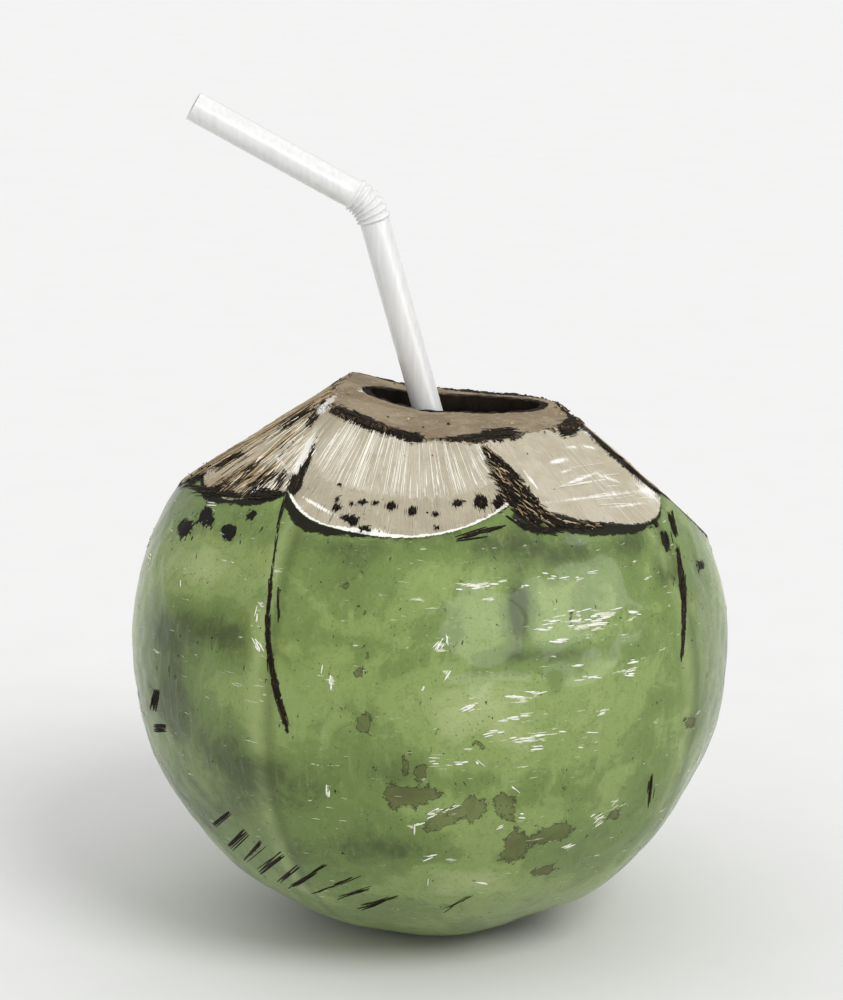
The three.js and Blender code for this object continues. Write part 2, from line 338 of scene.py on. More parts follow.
# Marks seen in the picture, in its pixels: middle, half width, half height, turn in degrees, strength
skinMarks = dict(
    mottleAndPaintedLight=[  # broad fields of the green: random mottling, with painted shade on the left, low down and under the chopped edge, painted highlight right of the middle and low in front, and the window's bars as a painted reflection
        (465, 546, 140, 18, 0, -0.8), (345, 560, 60, 26, 0, -0.35), (620, 545, 60, 16, -12, -0.5),
        (565, 560, 24, 18, 0, -0.5), (196, 626, 56, 30, 0, -1.0), (236, 640, 24, 26, 0, -0.5),
        (172, 702, 26, 30, 0, -0.9), (205, 745, 40, 30, 20, -0.5), (278, 775, 40, 26, 0, -0.8),
        (270, 800, 70, 40, 15, -0.5), (330, 862, 100, 30, 8, -0.5), (200, 810, 50, 26, 35, -0.6),
        (400, 620, 40, 60, 10, -0.15), (330, 600, 26, 50, 0, -0.1), (400, 745, 50, 30, 0, -0.2),
        (665, 578, 11, 28, 0, -0.6), (535, 722, 90, 50, 0, 0.75), (478, 620, 26, 34, 0, 0.15),
        (648, 562, 6, 28, 0, 0.5), (215, 565, 54, 28, 0, 1.15), (225, 690, 34, 24, 0, 0.4),
        (258, 630, 10, 30, -12, 0.9), (262, 730, 24, 40, 0, 0.25), (700, 640, 20, 130, 0, -0.4),
        (655, 690, 30, 60, 0, -0.2), (640, 770, 60, 26, -35, -0.2), (345, 690, 40, 60, 0, 0.35),
        (420, 700, 50, 50, 0, 0.5), (460, 884, 100, 18, 0, 0.75), (518, 613, 13, 38, 0, -1.35),
        (538, 655, 92, 9, -3, -0.75), (488, 668, 36, 7, -12, -0.5), (490, 677, 60, 5, -6, -0.35),
        (476, 782, 30, 14, 0, -0.3), (530, 770, 24, 12, -10, -0.2), (430, 815, 60, 30, 0, 0.4),
        (478, 742, 16, 8, 0, -0.6), (575, 850, 46, 24, -20, -0.5), (405, 850, 22, 18, 0, -0.45),
        (455, 850, 60, 12, -10, -0.3), (400, 770, 30, 18, 0, -0.3), (610, 800, 24, 40, -25, 0.25),
        (425, 868, 60, 8, 14, 0.35), (490, 838, 14, 12, 0, 0.35), (412, 812, 20, 8, -10, 0.4),
    ],
    bruiseAndShade=[  # rubbed, browned strokes along the ridges; under the chopped edges and low on the left they are painted shade
        (524, 520, 18, 8, 35, 1.2), (545, 530, 22, 4, 8, 1.2), (472, 535, 14, 3, -18, 0.9),
        (492, 530, 12, 3, -10, 0.9), (281, 512, 14, 1.6, 104, 1.0), (276, 545, 22, 1.2, 98, 0.8),
        (270, 590, 26, 1.8, 96, 1.1), (268, 626, 20, 2.6, 91, 1.5), (270, 655, 16, 2.4, 84, 1.4),
        (275, 684, 18, 3.0, 80, 1.5), (283, 715, 20, 2.4, 76, 1.5), (278, 600, 22, 1.1, 88, 0.8),
        (666, 541, 9, 4, 78, 1.7), (673, 524, 11, 3, 76, 1.7), (655, 523, 4, 3, 60, 1.4),
        (679, 562, 16, 2.4, 84, 1.3), (683, 590, 20, 3.4, 87, 1.5), (684, 620, 18, 2.6, 90, 1.2),
        (683, 645, 16, 1.6, 92, 0.9), (307, 877, 20, 3.0, -32, 0.62), (338, 884, 26, 1.5, -22, 0.5),
        (350, 893, 24, 1.6, -16, 0.5), (380, 902, 22, 2.6, -16, 0.6), (457, 904, 16, 1.8, -30, 0.5),
        (237, 838, 9, 4, -42, 0.7), (254, 851, 10, 4, -44, 0.6), (272, 864, 12, 4, -40, 0.6),
        (222, 818, 8, 3.5, -40, 0.6), (288, 874, 12, 3, -38, 0.5), (155, 700, 4, 9, 10, 1.1),
        (160, 728, 5, 5, 0, 1.1), (650, 790, 3, 14, 8, 0.7),
    ],
    stain=[  # sharp edged brown stains
        (393, 795, 8, 13, 0, 1.0), (424, 797, 20, 8, -8, 1.1), (405, 792, 8, 5, 0, 0.9),
        (420, 773, 6, 9, 0, 1.1), (405, 763, 3.5, 11, -10, 1.0), (447, 818, 19, 7, -22, 1.0),
        (474, 810, 12, 10, -18, 1.1), (433, 826, 12, 6, -15, 0.8), (506, 808, 10, 12, 20, 1.1),
        (500, 800, 6, 6, 0, 0.6), (515, 848, 10, 17, 0, 1.1), (505, 853, 5, 4, 0, 0.8),
        (540, 838, 19, 7, -30, 1.0), (562, 832, 13, 8, -20, 0.9), (546, 869, 16, 5, -12, 0.9),
        (614, 815, 7, 8, 30, 0.95), (365, 721, 7, 11, 15, 1.15), (359, 673, 5, 4, -20, 1.0),
        (352, 676, 2.5, 2.5, 0, 0.9), (338, 682, 3, 8, 0, 0.9), (364, 614, 3, 3, 0, 0.9),
        (345, 585, 4, 3, 0, 0.7), (175, 678, 2, 3, 0, 0.9), (368, 655, 2, 6, 10, 0.8),
        (700, 565, 4, 4, 0, 1.1), (690, 722, 7, 6, 0, 0.9), (571, 615, 2.5, 8, 0, 0.8),
        (480, 745, 10, 4, 10, 0.7), (437, 660, 4, 3, 0, 0.4), (564, 790, 3, 3, 0, 0.7),
    ],
    spot=[  # small dark pits
        (185, 528, 7, 9, 20, 1.7), (206, 516, 7, 10, 10, 1.8), (229, 533, 7, 8, -20, 1.7),
        (252, 515, 6, 5, 0, 1.5), (211, 522, 5, 4, 0, 1.0), (226, 528, 4, 3, 0, 1.0),
        (262, 528, 3, 2, -30, 0.8), (700, 565, 4, 4, 0, 1.5),
    ],
    scuffAndHighlight=[  # pale dashes: mostly painted highlight, where the window's reflection breaks up right of the middle and along the right edge, and some rubbed wax
        (478, 586, 26, 3.4, -3, 1.0), (472, 585, 14, 3, 0, 0.6), (525, 586, 4, 2, 0, 0.8),
        (550, 575, 10, 2, 4, 0.8), (572, 578, 12, 2, -6, 0.8), (592, 573, 8, 2.2, -8, 0.8),
        (493, 601, 4, 1.8, 0, 0.8), (540, 630, 8, 3, 0, 0.8), (552, 622, 12, 4, -6, 0.9),
        (585, 626, 26, 7, -3, 1.0), (598, 617, 22, 3, -4, 0.8), (580, 611, 14, 2.2, -6, 0.7),
        (617, 609, 10, 2.2, -10, 0.8), (633, 614, 7, 3.4, 0, 0.95), (573, 639, 26, 2, -2, 0.7),
        (558, 641, 8, 2, 0, 0.7), (440, 645, 7, 8, 40, 0.85), (450, 640, 4, 5, 0, 0.7),
        (446, 676, 5, 6, 30, 0.75), (422, 690, 2, 4, 20, 0.7), (588, 678, 18, 2.4, -4, 1.0),
        (578, 665, 8, 3, 0, 0.5), (630, 667, 9, 5, -10, 0.8), (629, 675, 6, 2, 0, 0.8),
        (470, 706, 12, 4, -24, 1.0), (514, 697, 11, 4, 0, 0.9), (535, 692, 12, 2.2, -6, 0.85),
        (523, 716, 22, 2.4, -6, 0.85), (510, 720, 12, 2, 0, 0.7), (495, 732, 12, 3, -14, 0.95),
        (530, 738, 24, 4, -9, 0.95), (533, 748, 10, 2.6, 0, 0.9), (600, 714, 7, 3, -10, 0.8),
        (592, 732, 6, 2, 0, 0.8), (562, 730, 3, 2, 0, 0.7), (580, 748, 3, 3, 0, 0.6),
        (331, 682, 3, 9, 0, 1.1), (322, 668, 2, 9, 10, 0.6), (598, 820, 9, 5, -38, 1.1),
        (614, 802, 5, 4, -40, 0.8), (568, 846, 7, 3.4, -20, 0.9), (435, 812, 9, 5, -20, 0.9),
        (452, 808, 10, 2.4, -22, 0.8), (411, 828, 4, 5, 0, 0.7), (420, 823, 6, 3, -25, 0.8),
        (430, 856, 9, 2.4, -24, 0.8), (451, 860, 5, 3, 0, 0.7), (481, 883, 9, 2, 8, 0.8),
        (426, 882, 2, 3, 0, 0.7), (499, 828, 8, 2.4, -20, 0.7), (522, 818, 4, 4, 0, 0.6),
        (515, 790, 5, 5, 30, 0.6), (482, 762, 5, 5, 40, 0.7), (461, 763, 8, 3, 0, 0.8),
        (434, 760, 5, 5, 0, 0.6), (328, 790, 2.6, 7, 0, 1.0), (257, 614, 5, 9, 10, 0.7),
        (259, 645, 7, 9, -30, 0.8), (182, 584, 2.4, 3, 0, 0.8), (712, 735, 3, 22, 22, 0.8),
        (700, 760, 3, 14, 28, 0.6), (212, 505, 7, 2.4, 8, 0.9),
    ],
)
cutMarks = dict(
    dot=[  # dark fibre ends in the band of the front chop
        (340, 485, 3, 2, 0, 0.8), (338, 499, 2.5, 3, 0, 0.9), (337, 508, 5, 4, -20, 1.1),
        (346, 518, 5, 3, 20, 1.1), (353, 521, 5, 5, 30, 1.3), (365, 530, 6, 4, 10, 1.2),
        (352, 504, 3, 3, 0, 0.9), (362, 502, 4, 3, -20, 1.2), (375, 503, 3, 3, -40, 0.9),
        (391, 506, 6, 4, 0, 1.3), (412, 511, 5, 5, 20, 1.3), (436, 514, 4, 3, -30, 0.7),
        (437, 528, 4, 2, 0, 0.8), (458, 503, 5, 4, 0, 1.2), (481, 502, 7, 7, 20, 1.5),
        (499, 503, 5, 8, 0, 1.5), (489, 518, 5, 2.5, -30, 0.9),
    ],
    scorchAndShade=[  # dried, dark patches along the rim and the edges of the chops; the long one down the right side is painted shade of the far right chop, seen edge on
        (359, 420, 29, 6, 22, 1.9), (399, 434, 14, 4, 12, 1.5), (414, 438, 9, 4, 0, 1.4),
        (481, 437, 38, 3.4, -4, 1.7), (500, 431, 18, 2.4, -4, 1.0), (568, 428, 9, 7, -20, 2.2),
        (566, 409, 14, 2.6, 42, 1.4), (295, 484, 6, 9, 20, 2.0), (305, 467, 24, 2.4, 113, 1.6),
        (626, 461, 60, 5.4, 41, 2.2), (214, 492, 26, 4.5, 9, 1.7), (264, 494, 18, 5, 0, 1.7),
        (228, 460, 17, 4, -28, 1.4), (297, 417, 22, 5, -36, 1.5), (312, 420, 10, 4, -50, 1.2),
        (192, 480, 16, 4, -30, 1.3), (250, 468, 16, 5, -40, 0.7), (262, 481, 20, 7, -40, 0.8),
        (233, 481, 22, 6, -25, 0.9), (280, 480, 12, 5, -50, 0.7), (500, 391, 54, 3.4, 5, 2.2),
        (476, 388, 26, 3, 3, 1.4), (380, 377, 34, 1.6, 15, 1.2), (338, 378, 14, 2.0, -52, 1.4),
    ],
    pale=[  # clean white strokes: white fibres, and painted highlight at the top of the crease between the left and front chops and down its left side
        (327, 404, 15, 4, -46, 1.1), (302, 459, 29, 3.6, 116, 1.2), (361, 391, 9, 3.5, 14, 0.62),
        (285, 467, 8, 1.5, 62, 0.8), (278, 458, 6, 1.2, 58, 0.7), (558, 461, 8, 2, -12, 1.2),
        (573, 447, 6, 1.3, 0, 0.8), (589, 447, 8, 1.3, 14, 0.9), (650, 493, 15, 6, 34, 0.75),
        (600, 496, 44, 1.3, -7, 0.8), (580, 479, 17, 1.5, -20, 0.9), (608, 478, 14, 1.6, 20, 0.8),
        (566, 471, 7, 1.3, -16, 0.7), (628, 505, 16, 1.3, -7, 0.8), (531, 480, 14, 1.3, 53, 0.9),
        (537, 501, 6, 1.3, 52, 0.8), (318, 506, 18, 1.8, 30, 0.9), (378, 532, 9, 3, 12, 1.0),
        (352, 525, 10, 1.5, 28, 0.6), (588, 432, 7, 3, 40, 0.9),
    ],
    brown=[  # where the left chop is darker, as painted shade low down and at its top edge, or cleaner, as painted highlight beside the crease with the front chop
        (236, 482, 46, 11, -14, 0.4), (303, 419, 22, 7, -36, 0.4), (286, 450, 15, 26, 25, -0.42),
        (262, 440, 26, 9, -30, -0.1),
    ],
)


def markField(points, marks, facing):  # strength at each point of the marks that the picture shows
    px, py = pixelsOf(points)
    total = np.zeros(len(points))
    for across, down, halfWidth, halfHeight, turn, strength in marks:
        c, s = math.cos(math.radians(turn)), math.sin(math.radians(turn))
        dx, dy = px - across, py - down
        along, beside = (dx * c + dy * s) / halfWidth, (dy * c - dx * s) / halfHeight
        total += strength * np.exp(-(along**2) - beside**2)
    return total * facing


marksBehind = dict(  # marks strewn where the picture doesn't show: count, mm wide, flatness, seed
    stain=(26, (2.0, 5.5), 0.6, 33),
    spot=(14, (1.2, 2.2), 1.1, 34),
    scuffAndHighlight=(26, (3.0, 8.0), 0.22, 35),
)


def strewnField(points, facing, kind):
    count, sizes, flat, seed = marksBehind[kind]
    rng = np.random.default_rng(seed)
    total = np.zeros(len(points))
    for _ in range(count):
        place = bodyMiddle + towards(rng.uniform(70, 290), rng.uniform(-62, 42)) * coconut["width"] / 2
        size = rng.uniform(*sizes)
        away = (points - place) / (size, size, size * flat)
        total += rng.uniform(0.6, 1.1) * np.exp(-(away**2).sum(-1))
    return total * (1 - facing)


# Husk: one closed mesh, its columns laid along the creases between the chops, closest at the front
huskMesh = dict(
    columns=500, skinRows=104, facetRows=100, topRows=26, neckRows=6, bowlRows=12,
    neckBottom=124, bowlTop=120,  # mm
    frontCrowding=1.4, tornCrowding=1.1,
)


def plan(angle, reach):  # plan position at an angle round the middle of the mouth
    return nut["mouthX"] + reach * np.sin(angle), nut["mouthY"] - reach * np.cos(angle)


def findReach(angle, low, high, inside, steps=40):
    low, high = low * np.ones_like(angle), high * np.ones_like(angle)
    for _ in range(steps):
        half = (low + high) / 2
        stays = inside(*plan(angle, half))
        low, high = np.where(stays, half, low), np.where(stays, high, half)
    return low


def chopsOnly(x, y):
    return cutHeights(x, y)[:topFacet].min(0)


def insideRim(x, y):
    return topHeight(x, y) < chopsOnly(x, y)


def insideSkin(x, y):
    return np.minimum(topHeight(x, y), chopsOnly(x, y)) < skinHeight(x, y)


def rimReach(angle):
    return findReach(angle, 12, 75, insideRim)


def skinReach(angle):
    spot = nut["mouthX"] * np.sin(angle) - nut["mouthY"] * np.cos(angle)
    centreAway = nut["mouthX"] ** 2 + nut["mouthY"] ** 2
    furthest = -spot + np.sqrt(spot**2 - centreAway + (coconut["width"] / 2 - 0.2) ** 2)
    return findReach(angle, rimReach(angle), furthest, insideSkin)


def creases(reach):  # angles at which one chop takes over from the next
    angle = np.radians(np.arange(-180, 180, 0.05))
    x, y = plan(angle, reach(angle) - 0.01)
    facet = cutHeights(x, y)[:topFacet].argmin(0)
    change = np.nonzero(facet != np.roll(facet, 1))[0]
    return {(chopNames[facet[i - 1]], chopNames[facet[i]]): angle[i] for i in change}


def crowdedAngles():  # angles from -180 to 180 degrees, closer together at the front and at the torn edge
    angle = np.linspace(-math.pi, math.pi, 7201)
    crowding = 1 + huskMesh["frontCrowding"] * np.exp(-((angle / math.radians(66)) ** 2))
    crowding += huskMesh["tornCrowding"] * np.exp(-(((angle - math.radians(34)) / math.radians(13)) ** 2))
    share = np.concatenate(([0], np.cumsum((crowding[1:] + crowding[:-1]) / 2)))
    return np.interp(np.arange(huskMesh["columns"]) / huskMesh["columns"], share / share[-1], angle)


def columnAngles():  # for each column, its angle at the skin edge and at the rim
    atSkin, atRim = creases(skinReach), creases(rimReach)
    knots = [(atSkin[pair], atRim[pair]) for pair in atSkin if pair in atRim]
    leftBackWidth = (atSkin[("leftBack", "farLeft")] - atSkin[("back", "leftBack")]) % (2 * math.pi)
    knots.append((atSkin[("leftBack", "farLeft")] - 0.5 * leftBackWidth, atRim[("back", "farLeft")]))
    knots = sorted(((s + math.pi) % (2 * math.pi) - math.pi, r) for s, r in knots)
    skinKnots = np.array([k[0] for k in knots])
    shift = np.array([(r - s + math.pi) % (2 * math.pi) - math.pi for s, r in knots])
    around = np.concatenate(([skinKnots[-1] - 2 * math.pi], skinKnots, [skinKnots[0] + 2 * math.pi]))
    shift = np.concatenate(([shift[-1]], shift, [shift[0]]))
    atSkin = crowdedAngles()
    for knot in skinKnots:  # the nearest column is moved onto the crease
        atSkin[np.abs(atSkin - knot).argmin()] = knot
    return atSkin, atSkin + np.interp(atSkin, around, shift)


skinAngle, rimAngle = columnAngles()
skinEdge = np.stack(plan(skinAngle, skinReach(skinAngle)), -1)
rimEdge = np.stack(plan(rimAngle, rimReach(rimAngle)), -1)
columnTurn = np.arange(huskMesh["columns"]) / huskMesh["columns"]  # 0 to 1 round the fruit
# mm up a chop, which slopes by about 30 degrees
cutLength = 1.15 * np.linalg.norm(rimEdge - skinEdge, axis=-1)


def alongColumns(turn, values):  # value between two columns
    spot = (turn % 1) * huskMesh["columns"]
    low = np.floor(spot).astype(int) % huskMesh["columns"]
    high = (low + 1) % huskMesh["columns"]
    part = (spot - np.floor(spot))[..., None]
    return values[low] * (1 - part) + values[high] * part


def fibreSpot(turn, along):  # place on a cut measured across and along its fibres, joining up round the fruit
    around = alongColumns(np.asarray(turn), np.stack((np.cos(skinAngle), np.sin(skinAngle)), -1)) * 62
    return np.concatenate((around, np.asarray(along)[..., None]), -1)


tornRelief = dict(lean=44, grooves=1.5, depth=0.62)  # degrees from the torn line, mm apart, mm deep


def tornMask(x, y):  # 1 on the torn strip between the ridge of the two chops and the torn line
    beside, along = besideTorn(x, y)
    width = tornEdgeAt(along)
    inside = smoothStep(-1.0, 0.8, beside + width) * smoothStep(0.9, -0.3, beside)
    return inside * smoothStep(2, 8, along), beside, along


# low waves left by the blade, the fibres, and the grooves of the torn strip
def reliefOnCut(x, y, turn, along):
    spot = np.stack((x, y), -1)
    fibre = fibreSpot(turn, along * 0.09)
    relief = 0.15 * wobble(spot, 17, 3) + 0.06 * wobble(spot, 6, 4)
    relief = relief + 0.075 * wobble(fibre, 3.4, 5) + 0.05 * wobble(fibre, 1.6, 6)
    strip, beside, down = tornMask(x, y)
    c, s = math.cos(math.radians(tornRelief["lean"])), math.sin(math.radians(tornRelief["lean"]))
    groove = np.stack((beside * c - down * s, 0.17 * (beside * s + down * c)), -1)
    depth = wobble(groove, tornRelief["grooves"], 7) - 0.35
    return relief + strip * tornRelief["depth"] * np.clip(depth, -1.6, 0.9)


def nickDepth(turn):  # how far the rim's edge is broken away
    around = fibreSpot(turn, 0 * turn)
    return np.clip(wobble(around, 8, 21) - 0.6, 0, 1.1) + 0.22 * np.clip(wobble(around, 3.5, 22), 0, 1)


def cutPoint(turn, share):  # point on a chop: share 0 at the skin, 1 at the rim
    start, end = alongColumns(turn, skinEdge), alongColumns(turn, rimEdge)
    spot = start + (end - start) * np.asarray(share)[..., None]
    height, facet = cutSurface(spot[..., 0], spot[..., 1])
    fade = smoothStep(0, 0.06, share)
    length = np.linalg.norm(end - start, axis=-1)
    height = height + reliefOnCut(spot[..., 0], spot[..., 1], turn, share * length) * fade
    height = height - nickDepth(turn) * np.exp(-(((1 - share) * length / 1.1) ** 2))
    return np.concatenate((spot, height[..., None]), -1), facet


def facetShares(count):  # rows of a chop from the skin to the rim, closer together at both ends
    shares = np.linspace(0, 1, count + 1)[1:]
    return 0.75 * shares + 0.25 * (0.5 - 0.5 * np.cos(math.pi * shares))


def turnRange(name):  # where a chop lies round the fruit, as two turns
    turn = np.linspace(0, 1, 2000, endpoint=False)
    _, facet = cutPoint(turn, np.full(turn.shape, 0.5))
    on = facet == chopNames.index(name)
    start = turn[np.nonzero(on & ~np.roll(on, 1))[0][0]]
    return start, start + on.mean()


def swellOfSkin(points):
    return 0.32 * wobble(points, 34, 1) + 0.09 * wobble(points, 9, 2)


def skinOfHusk():
    edgeAzimuth = np.degrees(np.unwrap(np.radians(compass(skinEdge[:, 0], skinEdge[:, 1]))))
    edgeShare = np.hypot(skinEdge[:, 0], skinEdge[:, 1]) / bodyReach(edgeAzimuth)
    edgeLatitude = np.arccos(np.clip(edgeShare, 0, 1))
    window = np.hanning(41) / np.hanning(41).sum()
    wrapped = np.concatenate((edgeAzimuth[-20:] - 360, edgeAzimuth, edgeAzimuth[:20] + 360))
    evenAzimuth = np.convolve(wrapped, window, mode="valid")

    rows = np.linspace(0, 1, huskMesh["skinRows"] + 1)[:, None]
    latitude = restLatitude + (edgeLatitude - restLatitude) * rows
    azimuth = blendTo(evenAzimuth, edgeAzimuth, smoothStep(0.86, 1, rows))
    angle, spread = np.radians(azimuth), bodyReach(azimuth) * np.cos(latitude)
    height = middleHeight + coconut["halfHeight"] * np.sin(latitude)
    skin = np.stack((spread * np.sin(angle), -spread * np.cos(angle), height), -1)
    swell = swellOfSkin(skin) * smoothStep(0, 0.08, rows) * smoothStep(0, 0.05, 1 - rows)
    skin = skin + unit(skin - bodyMiddle) * swell[..., None]
    skin[0, :, 2] = 0
    return skin


def topOfHusk(mouthEdge):  # the browned cut between the rim and the mouth
    shares = np.linspace(0, 1, huskMesh["topRows"] + 1)[1:, None, None]
    flat = rimEdge + (mouthEdge - rimEdge) * shares
    height, _ = cutSurface(flat[..., 0], flat[..., 1])
    away = np.linalg.norm(flat - rimEdge, axis=-1)
    height = height + 0.10 * wobble(flat, 9, 8) + 0.06 * wobble(flat, 2.6, 9)
    height = height - nickDepth(columnTurn)[None, :] * np.exp(-((away / 1.3) ** 2))
    return np.concatenate((flat, height[..., None]), -1)


def buildHusk(materials):
    columns = huskMesh["columns"]
    skin = skinOfHusk()
    shares = facetShares(huskMesh["facetRows"])
    turn = np.broadcast_to(columnTurn, (len(shares), columns))
    facets, facetKind = cutPoint(turn, np.broadcast_to(shares[:, None], turn.shape))
    top = topOfHusk(nutWall(rimAngle, np.full(columns, nut["mouthTop"]), -nut["gap"])[:, :2])
    neck = np.linspace(top[-1, :, 2].min() - 1.5, huskMesh["neckBottom"], huskMesh["neckRows"])
    levels = np.concatenate((neck, nutLevels(huskMesh["bowlTop"], huskMesh["bowlRows"])))
    wall = np.stack([nutWall(rimAngle, np.full(columns, level), -nut["gap"]) for level in levels])

    body = np.concatenate((skin, facets, top, wall))
    deepest = (nut["x"], nut["y"], nut["z"] - nut["halfHeight"] - nut["gap"])
    points, faces = closedRows(body, (0, 0, 0), deepest)
    bands = (huskMesh["skinRows"], len(facets), len(top), len(wall))
    rowMaterial = np.repeat(np.arange(len(bands)), bands)
    faceMaterials = np.concatenate((np.repeat(rowMaterial, columns), np.zeros(columns), np.full(columns, 3)))
    attributes = huskAttributes(points, len(body), facetKind)
    husk = makePiece("husk_green_and_cut", points, faces, attributes, materials, faceMaterials)
    husk.data.set_sharp_from_angle(angle=math.radians(38))
    return husk


facetLook = dict(  # browning (on the left, far left and far right chops partly painted shade), plain band under the skin in mm, white streaks, white line at the edge
    left=(0.3, 0, 0.4, 0.05), farLeft=(0.5, 5, 0.3, 0.2), front=(0.02, 15.5, 1.0, 1.0),
    right=(0.0, 0, 0.0, 0.1), farRight=(0.66, 0, 0.2, 0.2), rightBack=(0.2, 8, 0.6, 0.6),
    back=(0.1, 11, 0.9, 0.8), leftBack=(0.34, 8, 0.5, 0.6),
)
# browned, frayed skin along the edge of each chop, widened and blackened under the front and right chops as
# painted shade: how far along it from the left, and mm wide
frayedEdgesAndShade = dict(
    front=((0, 3.2), (0.1, 3.7), (0.2, 2.7), (0.32, 0.9), (0.5, 0.3), (0.8, 0.2), (1, 1.2)),
    right=((0, 4.0), (0.3, 3.4), (0.6, 2.4), (0.8, 0.9), (1, 0.0)),
    left=((0, 1.0), (0.3, 2.4), (0.5, 0.9), (0.75, 2.5), (1, 1.2)),
    farLeft=((0, 0.4), (0.5, 1.4), (1, 0.6)), farRight=((0, 0.0), (0.4, 1.5), (1, 0.5)),
    rightBack=((0, 0.5), (0.3, 1.3), (0.6, 0.3), (1, 1.1)),
    back=((0, 1.6), (0.25, 2.2), (0.5, 0.3), (1, 0.8)),
    leftBack=((0, 0.4), (0.5, 1.5), (1, 0.5)),
)
bandNarrows = 0.34  # the front chop's band is narrower by this share at its right end


def plainBand(name, turn):
    width = facetLook[name][1] * np.ones_like(turn)
    if name == "front":
        low, high = turnRange(name)
        width = width * (1 - bandNarrows * smoothStep(0.45, 1, (turn - low) / (high - low)))
    return width


def shareAcross(name, turn):  # 0 at the left end of a chop, 1 at its right end
    low, high = turnRange(name)
    share = ((turn - low + 0.1) % 1) - 0.1
    return share / (high - low)


def frayedWidth(turn):  # mm
    width = np.zeros(len(turn))
    for name, steps in frayedEdgesAndShade.items():
        share = shareAcross(name, turn)
        on = (share >= 0) & (share <= 1)
        places, widths = np.array(steps, dtype=float).T
        width[on] = np.interp(share[on], places, widths)
    return width


def ridgeHighlightAndShade(azimuth):  # painted highlight on the left of each lengthwise ridge, painted shade on its right
    pale, dark = 0, 0
    for ridge in coconut["ridges"]:
        away = (azimuth - ridge + 180) % 360 - 180
        pale = pale + np.exp(-(((away + 2.6) / 1.7) ** 2))
        dark = dark + np.exp(-(((away - 0.6) / 1.1) ** 2))
    return pale, dark


rowPitch = 0.4  # mm between rows on a chop, roughly
farFromCut = 30  # mm, given as the height up a chop where there is no chop


def skinValues(points, edge, facing, isSkin, rowCount):
    unseen = 1 - 0.75 * facing
    clouds = 0.55 * wobble(points, 46, 31) + 0.35 * wobble(points, 21, 32)
    values = dict(mottleAndPaintedLight=markField(points, skinMarks["mottleAndPaintedLight"], facing) + clouds * unseen)
    values["bruiseAndShade"] = markField(points, skinMarks["bruiseAndShade"], facing)
    for kind in marksBehind:
        values[kind] = markField(points, skinMarks[kind], facing) + strewnField(points, facing, kind)
    values["ridgePaintedHighlight"], values["ridgePaintedShade"] = ridgeHighlightAndShade(compass(points[:, 0], points[:, 1]))
    edges = np.concatenate((np.tile(edge, (rowCount, 1)), edge[:1], edge[:1]))
    fromEdge = np.linalg.norm(points - edges, axis=-1)
    values["fromEdge"] = np.where(isSkin, np.minimum(fromEdge, 60), 0)
    return values


def chopValues(points, kinds, turn, up, toCamera):
    brown, inBand, streaky, edgeLine, facing = np.zeros((5, len(points)))
    for number, name in enumerate(chopNames):
        on = kinds == number
        brown[on], _, streaky[on], edgeLine[on] = facetLook[name]
        inBand[on] = plainBand(name, turn[on]) - up[on]
        facing[on] = smoothStep(-0.03, 0.1, toCamera[on] @ chopNormal(name))
    facing[kinds == topFacet] = 1
    onFront = kinds == chopNames.index("front")
    frayed = frayedWidth(turn)
    return dict(
        brown=brown + markField(points, cutMarks["brown"], facing),
        inBand=np.clip(inBand, -9, 9), streaky=streaky, edgeLine=edgeLine,
        frayed=frayed, cutFrayed=np.where(onFront, 0.1, 0.55) * frayed,
        dots=markField(points, cutMarks["dot"], facing * onFront),
        scorchAndShade=markField(points, cutMarks["scorchAndShade"], facing),
        pale=markField(points, cutMarks["pale"], facing),
    )


def huskAttributes(points, rowCount, facetKind):
    columns, skinRows, facetRows = huskMesh["columns"], huskMesh["skinRows"], huskMesh["facetRows"]
    rimRow = skinRows + facetRows
    toCamera = unit(cameraPlace - points)
    outward = unit((points - bodyMiddle) / np.array((1, 1, 0.98)))
    facing = smoothStep(0.0, 0.22, (outward * toCamera).sum(-1))
    row = np.concatenate((np.repeat(np.arange(rowCount), columns), (0, rowCount - 1)))
    turn = np.concatenate((np.tile(columnTurn, rowCount), (0, 0)))
    isFacet = (row >= skinRows) & (row <= rimRow)  # with the edge that skin and cut share
    edge = points[skinRows * columns:(skinRows + 1) * columns]
    values = skinValues(points, edge, facing, row <= skinRows, rowCount)

    kinds = np.full(len(points), -1)
    facetStart = (skinRows + 1) * columns
    kinds[facetStart - columns:facetStart] = facetKind[0]
    kinds[facetStart:facetStart + facetKind.size] = facetKind.ravel()
    kinds[(row > rimRow) & (row <= rimRow + huskMesh["topRows"])] = topFacet
    lengths = np.concatenate((np.tile(cutLength, rowCount), (1, 1)))
    shares = np.concatenate(([0], facetShares(facetRows)))
    up = np.interp(row - skinRows, np.arange(facetRows + 1), shares) * lengths
    values.update(chopValues(points, kinds, turn, up, toCamera))
    values["up"] = np.where(isFacet, up, farFromCut)
    strip, _, _ = tornMask(points[:, 0], points[:, 1])
    values["torn"] = strip * isFacet * (points[:, 1] < 0)
    values["fromRim"] = np.abs(row - rimRow) * 1.05 * rowPitch
    values["fibre"] = fibreSpot(turn, np.where(isFacet, (row - skinRows) * rowPitch, 0))
    return values


def heightBelow(top, *walls):
    return [np.maximum(0, top - wall[..., 2]) for wall in walls]


def closedWall(name, outer, inner, below, material):  # a cup: outer and inner rows, both from the top down
    points, faces = closedRows(np.concatenate((outer[::-1], inner)), outer[-1].mean(0), inner[-1].mean(0))
    values = np.concatenate((below[0][::-1].ravel(), below[1].ravel(), (0, 0)))
    return makePiece(name, points, faces, dict(below=values), [material])


shellMesh = dict(
    columns=220, neckRows=30, neckBottom=122, bowlTop=119, bowlRows=26, outerRough=0.02, innerRough=0.22,
)


